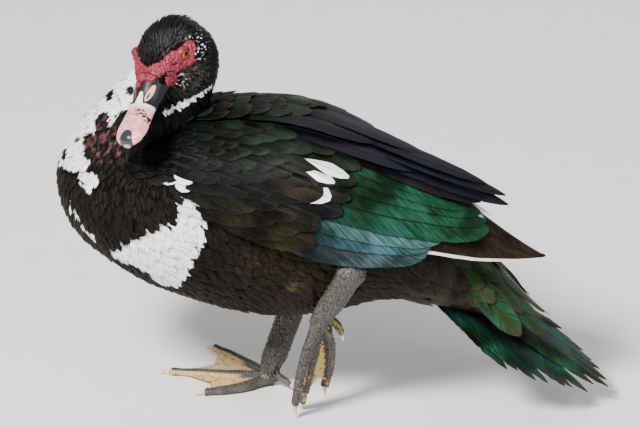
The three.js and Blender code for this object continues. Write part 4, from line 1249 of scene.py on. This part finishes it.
RIGHT_FLIGHT = [
    ([(-6, 16), (100, 14), (198, 8)], 9, "long", -5.6, EARTH, 1, 0),
    ([(-6, 26), (100, 24), (194, 11)], 9.5, "long", -5.4, EARTH, 0, 0),
    ([(-6, 36), (100, 34), (188, 16)], 9.5, "long", -5.2, EARTH, 0, 0),
    ([(-6, 46), (100, 44), (180, 24)], 9.5, "long", -5, EARTH, 0, 1),
    ([(-12, 0), (60, -6), (118, 7)], 14.5, "blunt", -2.2, DUSK, 0, 0),
    ([(-12, 13), (62, 4), (122, 13)], 13, "blunt", -1.8, TEAL, 0, 0),
    ([(-12, 22), (66, 14), (128, 22)], 13.5, "blunt", -1.5, SEA, 0, 0),
    ([(-12, 32), (74, 24), (146, 34)], 14.5, "blunt", -1.2, GREEN, 0, 0),
    ([(-12, 42), (76, 36), (142, 43)], 13, "blunt", -0.9, GREEN, 0, 0),
    ([(-12, 50), (70, 46), (134, 51)], 13, "blunt", -0.6, GREEN, 0, 0),
    ([(-12, 58), (64, 55), (124, 59)], 12.5, "blunt", -0.2, GREEN, 0, 0),
    ([(-24, 66), (56, 64), (118, 64)], 13, "long", 1.1, EARTH, 0, 0),
    ([(-28, 72), (46, 71), (110, 70)], 13.5, "long", 1.7, INK, 0, 0),
    ([(-32, 79), (34, 79), (98, 77)], 13.5, "long", 2.3, INK, 0, 0),
    ([(-38, 86), (22, 86), (82, 84)], 13, "long", 2.9, INK, 0, 0),
]
# how brown and worn a feather's border is: none on the flight feathers, most on the rump
COVERT_BORDER, BROWN_BORDER, TAIL_BORDER, RUMP_BORDER = 1.0, 1.6, 2.0, 3.0

# the finish of flight feathers, coverts and tail: painted sheen along the barbs and in patches, painted shade
# at each root, painted highlight towards each tip
glossy = finish("flight_plumage", Roughness=0.38, Metallic=0.2, Specular_IOR_Level=0.08)
barb = barbs_of(glossy)
aside, along, _ = xyz(given(glossy, "vane"))
white_below, white_above, kind = xyz(given(glossy, "edge"))
cloud = noise(object_place(glossy), 34.0, 2.0)
hue = ranged(cloud, 0.3, 0.7, 0.465, 0.53)
shine = shade("HueSaturation", {"Hue": hue, "Saturation": 1.0, "Color": given(glossy, "tone")})
# partly the barbs' own streaks, partly painted sheen: colour up to twice as bright along barb streaks and in
# noise patches
light = ranged(barb.beside("Streak"), 0.3, 0.72, 0.5, 2.0) * ranged(cloud, 0.32, 0.66, 0.35, 1.6)
# painted shade towards each feather's root and painted highlight towards its tip
colour = scaled(shine, light * ranged(along, 0.1, 0.85, 0.35, 1.25))
is_scale = ranged(kind, 0.2, 0.8)
is_rump = ranged(kind, 2.4, 2.8)
middle = ranged(abs(aside), 0.75, 0.2) * ranged(along, 0.45, 0.75) * ranged(along, 0.96, 0.86)
colour = mixed(middle * is_rump, colour, mixed(barb.beside("Streak"), GILT_DARK, GILT))
border = barb.beside("Rim") * ranged(kind, 0.5, 3.0, 0.06, 0.75)
colour = mixed(border * is_scale, colour, WORN_BROWN)
edges = ranged(aside, 0.62, 0.72) * white_below | ranged(aside, -0.28, -0.38) * white_above
edges = edges * (ranged(along, 0.995, 0.975) * ranged(along, 0.3, 0.5))
wedge = ranged(along - abs(aside) * 0.3 - white_below, -0.01, 0.015) * ranged(white_below, 0.2, 0.3)
past = (along - 0.6) * 3.4
crescent = ranged(aside * aside * 0.62 + past * past, 0.97, 1.05) * ranged(along, 0.7, 0.74) * white_above
white_end = (wedge | crescent | marks_of(glossy, 0.6).beside("White")) * is_scale
colour = mixed(edges * (1.0 - is_scale) | white_end, colour, VANE_WHITE)
coloured(glossy, mixed(barb.beside("Quill") * 0.6, colour, QUILL_BROWN))
relief(glossy, barb, 0.3, 0.4)


def folded(name, side, feathers, shape, stations, lean=0.0, sunk=0.0, rise=0.0, tip=0.0, **more):
    """Feathers on a wing's shell, each tipped a little to lie over the one below it."""
    paths, halves, lifts, tones, edges = (np.array(column, float) for column in zip(*feathers))
    s = np.linspace(0, 1, stations)[None, :, None]
    mix = (1 - s) ** 2 * paths[:, :1] + 2 * s * (1 - s) * paths[:, 1:2] + s * s * paths[:, 2:]
    s = s[..., 0]
    lift = lifts[:, None] - sunk * (1 - s)
    lift = lift + np.reshape(rise, (-1, 1)) * (1 - s) ** 3 + np.reshape(tip, (-1, 1)) * s**3
    place, out = on_shell(SHELL[side], side, mix[..., 0], mix[..., 1], lift)
    along = unit(np.gradient(placed(place), axis=1))
    across = unit(unit(np.cross(along, out)) + out * lean)
    return vanes(name, placed(place), np.cross(across, along), halves, shape, tone=tones, edge=edges, **more)


def flight(name, side, table, seed):
    made = []
    for shape in ("long", "blunt"):
        rows = [row for row in table if row[2] == shape]
        feathers = [(r[0], r[1], r[3], r[4], (*r[5:7][::-side], 0)) for r in rows]
        back = np.array([r[0][2][0] for r in rows])
        on_top = np.array([r[3] for r in rows]) > 0.5
        tip = np.where(on_top, 9 * np.clip((back - 100) / 70, 0, 1), 0)
        made.append(
            folded(
                f"{name}_{shape}", side, feathers, shape, stations=30, lean=-side * 0.08,
                rise=np.where(on_top, -5, 0.4), tip=tip, thickness=0.45, cup=0.05, across=9,
                seed=seed + len(made), ragged=0.05, patch=30,
            )
        )
    return joined(name, made)


def share(value):
    return min(1, max(0, value))


def coverts(name, side, seed):
    draw = np.random.default_rng(seed)
    night, olive, moss = (np.array(colour) for colour in (NIGHT, OLIVE, MOSS))
    feathers = []
    x, tier = -146.0, 0
    while x < -8:
        grown = min(1, (x + 146) / 136)
        half, reach = 5 + 6.5 * grown, 21 + 35 * grown
        start, end = np.interp(x, *COVERT_EDGE.T), row_at(ARM, x)[1]
        count = max(4, int(round(np.radians(end - start) * 80 / (half * 1.25))))
        for j in range(count):
            t = (j + 0.5 * (tier % 2)) / (count - 0.5)
            angle = start + 1 + (end - start - 2) * t + draw.normal(0, 0.7)
            root = x + draw.normal(0, 1.6) + min(8, 0.85 * (angle - 38)) * grown**2
            tip = root + reach * draw.uniform(0.92, 1.08)
            middle = ((root + tip) / 2, angle - 2 - 2 * grown)
            lift = arm_lift(row_at(ARM, min(tip, 40))[2], t) + 2.2 + grown
            width = half * draw.uniform(0.94, 1.06)
            upper = share((angle - 38) / 26) * share((root + 120) / 60)
            lower = share((34 - angle) / 22) * share((root + 130) / 50)
            tone = night + (olive - night) * lower
            tone = tone + (moss - tone) * upper * draw.uniform(0.35, 1)
            path = [(root, angle), middle, (tip, angle - 5 - 3 * grown)]
            feathers.append((path, width, lift, tone * draw.uniform(0.75, 1.3), (0, 0, COVERT_BORDER)))
        x += 8 + 6 * grown
        tier += 1
    feathers += GREATER if side == LEFT else []
    return folded(
        name, side, feathers, "round", stations=14, lean=-side * 0.09, sunk=3.4,
        thickness=0.28, cup=0.07, across=9, seed=seed, ragged=0.06, patch=8,
    )


def scapulars(name, side, seed):
    """The shoulder feathers between the wings, dark green with purple-brown borders."""
    draw = np.random.default_rng(seed)
    feathers = []
    for tier, x in enumerate(np.linspace(-114, -22, 8)):
        grown = tier / 7
        half, first = 6.5 + 5 * grown, 74 + 14 * grown
        count = int(round((101 - first) * 1.5 / (half * 1.15)))
        for j in range(count):
            angle = first + (101 - first) * (j + 0.5 * (tier % 2)) / (count - 0.5) + draw.normal(0, 0.8)
            root = x + draw.normal(0, 2)
            reach = (26 + 22 * grown) * draw.uniform(0.93, 1.07)
            path = [(root, angle), (root + reach / 2, angle - 0.5), (root + reach, angle - 1.5)]
            width = half * draw.uniform(0.93, 1.07)
            tone = np.array(NIGHT) + (np.array(MOSS) - NIGHT) * draw.uniform(0.1, 1)
            feathers.append((path, width, 3.4 + 2.2 * grown, tone, (0, 0, BROWN_BORDER)))
    return folded(
        name, side, feathers, "round", stations=14, sunk=5.0,
        thickness=0.28, cup=0.1, across=7, seed=seed, ragged=0.06, patch=8,
    )


for side, name, table in ((LEFT, "left", LEFT_FLIGHT), (RIGHT, "right", RIGHT_FLIGHT)):
    for piece in (
        flight(f"flight_feathers_{name}", side, table, 50 + side),
        coverts(f"coverts_{name}", side, 60 + side),
        scapulars(f"shoulder_feathers_{name}", side, 70 + side),
    ):
        wear(piece, glossy)
        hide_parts(f"wing_{name}")
        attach(piece, "root")

# The tail: nine pairs of stiff, broad feathers in a shallow fan, the middle pair longest, green
# and teal with brown edges worn at the tips, and rounded coverts over and under their roots.
TAIL_ROOT, TAIL_LENGTH, TAIL_PAIRS, TAIL_HALF = np.array((112.0, 4, 124)), 186, 9, 11
TAIL_DIP, TAIL_SWING, TAIL_ROLL, TAIL_STEP = (math.radians(a) for a in (33, 1.5, 7, 2.6))
TAIL_TEAL, COVERT_GREEN, COVERT_BROWN = (0.008, 0.06, 0.052), (0.005, 0.026, 0.011), (0.009, 0.007, 0.005)
TAIL_STATIONS = 34
RUMP = [
    *TORSO[:-3], [150, 119, 31, 25, 24], [165, 110, 32, 24, 19], [182, 93, 31, 20, 13],
    [204, 73, 28, 13, 8], [228, 55, 25, 8, 6],
]
TAIL_COVERTS = [
    # root, reach, from and to angle from the left side over the top, how many, half width
    (148, 60, 62, 126, 4, 10.5), (138, 54, 28, 158, 5, 11.5), (126, 46, 6, 170, 6, 12),
    (116, 42, 14, 164, 6, 12), (106, 38, 2, 178, 7, 12), (96, 36, 10, 170, 8, 11),
    (86, 32, 6, 174, 10, 10), (118, 44, -28, -152, 6, 11), (108, 40, -14, -166, 8, 10.5),
    (96, 36, -22, -158, 8, 10), (86, 32, -10, -170, 9, 9.5),
]
back_way = np.array((math.cos(TAIL_DIP), 0, -math.sin(TAIL_DIP)))
level_up = np.array((math.sin(TAIL_DIP), 0, math.cos(TAIL_DIP)))
up_way = level_up * math.cos(TAIL_ROLL) - np.array((0, 1, 0)) * math.sin(TAIL_ROLL)
side_way = level_up * math.sin(TAIL_ROLL) + np.array((0, 1, 0)) * math.cos(TAIL_ROLL)

draw = np.random.default_rng(17)
starts, angles, lengths, tones = [], [], [], []
for k in range(TAIL_PAIRS):
    for side in (LEFT, RIGHT):
        aside = side_way * side * (k + 0.5) * 1.7
        starts.append(TAIL_ROOT + aside - up_way * (k * 1.2 + (0.6 if side == RIGHT else 0)))
        angles.append(TAIL_SWING + side * (k + 0.5) * TAIL_STEP)
        lengths.append(TAIL_LENGTH - 6.4 * k - 0.55 * k * k + draw.normal(0, 2))
        mix = draw.random()
        tones.append([(g * (1 - mix) + t * mix) * draw.uniform(0.5, 1) for g, t in zip(GREEN, TAIL_TEAL)])
angles, lengths = np.array(angles)[:, None], np.array(lengths)[:, None, None]
s = np.linspace(0, 1, TAIL_STATIONS)[None, :, None]
run = back_way * np.cos(angles) + side_way * np.sin(angles)
middle = np.array(starts)[:, None] + run[:, None] * lengths * s
middle = middle + up_way * (6 * s * (1 - s) - 3 * s * s + draw.normal(0, 1.2, (len(starts), 1, 1)) * s)
worn = 1 - 0.28 * draw.random((len(starts), TAIL_STATIONS)) * s[..., 0] ** 5
tail_fan = vanes(
    "tail_feathers", placed(middle), np.broadcast_to(up_way, middle.shape), TAIL_HALF * worn, "long",
    thickness=0.5, cup=0.06, across=9, seed=18, ragged=0.16, patch=30,
    tone=tones, edge=np.tile((0, 0, TAIL_BORDER), (len(starts), 1)),
)

draw = np.random.default_rng(19)
s = np.linspace(0, 1, 12)
feathers = []
for x, reach, start, end, count, half in TAIL_COVERTS:
    for j in range(count):
        degrees = start + (end - start) * j / (count - 1) + draw.normal(0, 2)
        along = x + reach * draw.uniform(0.92, 1.08) * s
        droop = 34 * s * math.cos(math.radians(degrees)) * (start > 0)
        place, out = on_shell(RUMP, LEFT, along, degrees - droop, -2.2 + 6.4 * s)
        width = half * draw.uniform(0.93, 1.07)
        if start > 0 and (x > 110 or (x > 100 and 50 < degrees < 130)):
            feathers.append((placed(place), out, width, COVERT_GREEN, (0, 0, RUMP_BORDER)))
        else:
            feathers.append((placed(place), out, width, COVERT_BROWN, (0, 0, BROWN_BORDER)))
middles, outs, halves, tones, edges = (np.array(column, float) for column in zip(*feathers))
rump_scales = vanes(
    "tail_coverts", middles, outs, halves, "round",
    thickness=0.35, cup=0.12, across=7, seed=20, ragged=0.05, patch=8, tone=tones, edge=edges,
)
for piece in (tail_fan, rump_scales):
    wear(piece, glossy)
    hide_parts("tail")
    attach(piece, "root")

# The legs and feet: grey-black skin in fine scales, with scutes down the toes, and webs between
# the three front toes. Each is one piece of skin with its shank, a little fuller than its bone.
TOES = {
    # inner, middle, outer and hind toe as x, y and height, from the root to the tip
    "right": [
        [(-31, 9, 6), (-48, -5, 4.5), (-66, -13, 3.6), (-82, -17, 3)],
        [(-33, 13, 6.5), (-60, 14, 4.8), (-90, 17, 3.7), (-118, 19, 3)],
        [(-30, 17, 6), (-48, 35, 4.5), (-68, 55, 3.6), (-86, 70, 3)],
        [(-24, 9, 10), (-15, 3, 9), (-8, -2, 7)],
    ],
    "left": [
        [(27, -50, 92), (31, -42, 66), (29, -34, 40), (25, -28, 22)],
        [(23, -52, 92), (17, -48, 62), (11, -41, 32), (6, -35, 8)],
        [(21, -56, 92), (12, -58, 64), (6, -56, 38), (2, -52, 14)],
        [(30, -52, 99), (38, -51, 92), (42, -50, 83)],
    ],
}
TOE_TOP = {"right": (0, 0, 1), "left": (-0.845, 0.523, -0.1)}
DOWN_SHANK = {"right": np.array((-20.0, -7, -64)), "left": np.array((-29.0, 25, -59))}
# heights where the shank begins and its scales end, and how much fuller than its bone it is
ANKLE, SCALES_FROM = {"right": 16, "left": 104}, {"right": 12, "left": 22}
FULLER = {"right": 2.7, "left": 2.2}
SCALE_SEED = {"right": 92, "left": 91}
WEB_THICK, WEB_SOFT, THICKEST = 3.6, 1.2, 12
HIND_TOE = (40, -51, 88)

# scaled grey skin, and ochre and orange webs with flecks of dirt
leg_skin = finish("leg_skin", Roughness=0.52, Specular_IOR_Level=0.5)
place = object_place(leg_skin)
x, y, z = xyz(place)
cells = shade("TexVoronoi", {"Vector": place, "Scale": 420.0}, feature="DISTANCE_TO_EDGE")
tint = noise(place, 60.0, 3.0)
grey = mixed(ranged(cells, 0.02, 0.14), (0.09, 0.083, 0.073), (0.028, 0.026, 0.024))
grey = mixed(ranged(tint, 0.45, 0.7), grey, (0.1, 0.09, 0.075))
webbing = mixed(ranged(x, -0.07, -0.045), (0.6, 0.42, 0.19), (0.5, 0.36, 0.12))
webbing = mixed(ranged(tint, 0.42, 0.6), webbing, (0.6, 0.36, 0.07))
dirt = ranged(noise(place, 210.0, 4.0, 0.7), 0.56, 0.62)
webbing = mixed(dirt * 0.85, webbing, (0.03, 0.026, 0.02))
far_toes = ranged(x, -0.078, -0.09) * ranged(y, -0.002, 0.006)
hanging = ranged(z, 0.06, 0.02) * ranged(y, -0.018, -0.024) * ranged(x, -0.05, -0.04)
bare_toes = far_toes | hanging * ranged(noise(place, 120.0, 3.0), 0.5, 0.58)
hind = vector("DISTANCE", place, tuple(placed(HIND_TOE)), out=1)
grey = mixed(given(leg_skin, "sheet", "Fac") | bare_toes, grey, webbing)
coloured(leg_skin, mixed(ranged(hind, 0.013, 0.009), grey, (0.3, 0.2, 0.025)))
relief(leg_skin, ranged(cells, 0.0, 0.2), 0.6, 0.6)

# scutes and scales: horny grey plates with paler, worn borders
plate_horn = finish("leg_scales", Roughness=0.42, Specular_IOR_Level=0.4)
grey = mixed(xyz(given(plate_horn, "vane"))[2], (0.016, 0.014, 0.012), (0.055, 0.05, 0.043))
coloured(plate_horn, mixed(barbs_of(plate_horn).beside("Rim") * 0.7, grey, (0.19, 0.175, 0.15)))


def thickness_at(surface, places, outs):
    """How thick a form is behind each place, in metres."""
    rays = ((Vector(p - n * 0.2 * MM), Vector(-n)) for p, n in zip(places, outs))
    return np.array([surface.ray_cast(start, way, THICKEST * MM)[3] or THICKEST * MM for start, way in rays])


def toe_scutes(side, surface):
    """Broad scutes down the top of each toe."""
    plates = []
    for path in TOES[side]:
        front = len(path) > 3
        top = unit(np.array(TOE_TOP[side], float)) if front else np.array((0, 0, 1.0))
        steps = int(np.linalg.norm(np.diff(np.array(path, float), axis=0), axis=1).sum() / 2.7)
        line = between(path, np.linspace(0.08, 0.985, steps * 3 + 1))
        for k in range(steps - 1):
            part = line[k * 3 : k * 3 + 5 : 2]
            hits = [surface.ray_cast(Vector(placed(p + top * 14)), Vector(-top), 30 * MM)[0] for p in part]
            if all(hits):
                spots = np.array(hits) + top * np.array([[0.2], [0.6], [0.9]]) * MM
                size = (5.2 if front else 3.6) * (1 - 0.42 * k / steps) * 0.72
                plates.append((spots, np.tile(top, (3, 1)), size * np.array((0.92, 1, 0.86))))
    middles, outs, halves = (np.array(column) for column in zip(*plates))
    return vanes(
        f"toe_scutes_{side}", middles, outs, halves, None, thickness=0.5, cup=0.46, across=7, seed=93
    )


def shank_scales(side, leg, surface):
    """Small round scales over the shank and the toes, but not on the webs."""
    draw = np.random.default_rng(SCALE_SEED[side])
    spots, normals = skin_samples(leg, count=16000, seed=94)
    thick = thickness_at(surface, spots, normals) > 4 * MM
    roots = np.nonzero((drawn(spots)[:, 2] > SCALES_FROM[side]) & thick)[0]
    roots = roots[spread(spots[roots], np.full(len(roots), 2.5 * MM))]
    normals = normals[roots]
    way = unit(DOWN_SHANK[side] - (normals @ DOWN_SHANK[side])[:, None] * normals)
    length = draw.uniform(3.2, 4.2, len(roots)) * MM
    middle, out = followed(surface, spots[roots], normals, way, length, 5, 0.2 * MM, 0.85 * MM)
    half = draw.uniform(1.4, 1.9, len(roots))
    return vanes(
        f"shank_scales_{side}", middle, out, half, "round", thickness=0.4, cup=0.22, across=5, seed=95
    )


for side in ("left", "right"):
    copies = []
    for node in (f"shank_{side}", f"foot_{side}"):
        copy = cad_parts[node].copy()
        copy.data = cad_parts[node].data.copy()
        copy.parent = None
        for key in list(copy.keys()):
            del copy[key]
        bpy.context.scene.collection.objects.link(copy)
        seams_merged(copy)
        bpy.ops.object.mode_set(mode="OBJECT")
        copies.append(copy)
    leg = joined(f"leg_{side}", copies)
    grown_together(leg, voxel=0.62, smoothing=5)
    spots, normals = points_of(leg, "co"), points_of(leg, "normal")
    fuller = eased((drawn(spots)[:, 2] - ANKLE[side] + 4) / 16) * FULLER[side] * MM
    leg.data.vertices.foreach_set("co", (spots + normals * fuller[:, None]).ravel())
    leg.data.update()
    surface = ray_tree(leg)
    depth = thickness_at(surface, points_of(leg, "co"), points_of(leg, "normal")) / MM
    sheet = leg.data.attributes.new("sheet", "FLOAT", "POINT")
    sheet.data.foreach_set("value", np.clip((WEB_THICK - depth) / WEB_SOFT, 0, 1).astype(np.float32))
    scales = joined(f"scales_{side}", [toe_scutes(side, surface), shank_scales(side, leg, surface)])
    for piece, material in ((leg, leg_skin), (scales, plate_horn)):
        wear(piece, material)
        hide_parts(f"shank_{side}", f"foot_{side}")
        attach(piece, "root")

# The claws: blunt cream horn, which the solids already show in full.
claw_horn = finish("claw_horn", Roughness=0.4, Specular_IOR_Level=0.5)
cloud = noise(object_place(claw_horn), 300.0)
coloured(claw_horn, mixed(ranged(cloud, 0.35, 0.7), (0.55, 0.45, 0.32), (0.75, 0.68, 0.55)))
for node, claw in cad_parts.items():
    if node.startswith("claw"):
        wear(claw, claw_horn)

# The floor and the light: a pale, plain floor under a large soft light from above the bird's
# breast, with a weaker one from the other side.
bpy.ops.mesh.primitive_plane_add(size=14, location=(0, 0, 0))
floor = bpy.context.object
floor.name = "floor"
pale = finish("pale_floor", Roughness=0.9)
coloured(pale, mixed(noise(object_place(pale), 40.0, 3.0), (0.8, 0.785, 0.76), (0.86, 0.845, 0.82)))
wear(floor, pale)

BIRD_MIDDLE = Vector((0, 0, 0.15))
for name, place, size, power, colour in (
    ("key", (-1.0, -1.6, 2.2), 0.6, 175, (1, 0.98, 0.95)),
    ("fill", (1.6, -1.2, 1.2), 1.6, 16, (0.93, 0.96, 1)),
    ("rim", (0.6, 1.8, 1.6), 1.2, 20, (1, 1, 1)),
):
    light = bpy.data.lights.new(name, "AREA")
    light.size = size
    light.energy = power
    light.color = colour
    panel = bpy.data.objects.new(name, light)
    bpy.context.scene.collection.objects.link(panel)
    panel.location = place
    panel.rotation_euler = (BIRD_MIDDLE - Vector(place)).to_track_quat("-Z", "Y").to_euler()
world = bpy.data.worlds.new("room")
world.use_nodes = True
world.node_tree.nodes["Background"].inputs[0].default_value = (0.8, 0.82, 0.85, 1)
world.node_tree.nodes["Background"].inputs[1].default_value = 0.45
bpy.context.scene.world = world

# The camera looks down on the bird from its left, a little from ahead, from about three and a
# half metres away with a long lens.
CAMERA_TURN, CAMERA_HEIGHT, CAMERA_AWAY = math.radians(7), math.radians(25), 3.6
level = math.cos(CAMERA_HEIGHT)
towards_camera = Vector(
    (math.sin(CAMERA_TURN) * level, -math.cos(CAMERA_TURN) * level, math.sin(CAMERA_HEIGHT))
)
lens = bpy.data.cameras.new("viewer")
lens.lens = 235.5
lens.sensor_width = 36
lens.clip_end = 50
viewer = bpy.data.objects.new("viewer", lens)
bpy.context.scene.collection.objects.link(viewer)
viewer.location = Vector(placed((0, 0, 150))) + CAMERA_AWAY * towards_camera
looks_at = Vector(placed((17.3, 0, 172.3)))
viewer.rotation_euler = (looks_at - viewer.location).to_track_quat("-Z", "Y").to_euler()
bpy.context.scene.camera = viewer
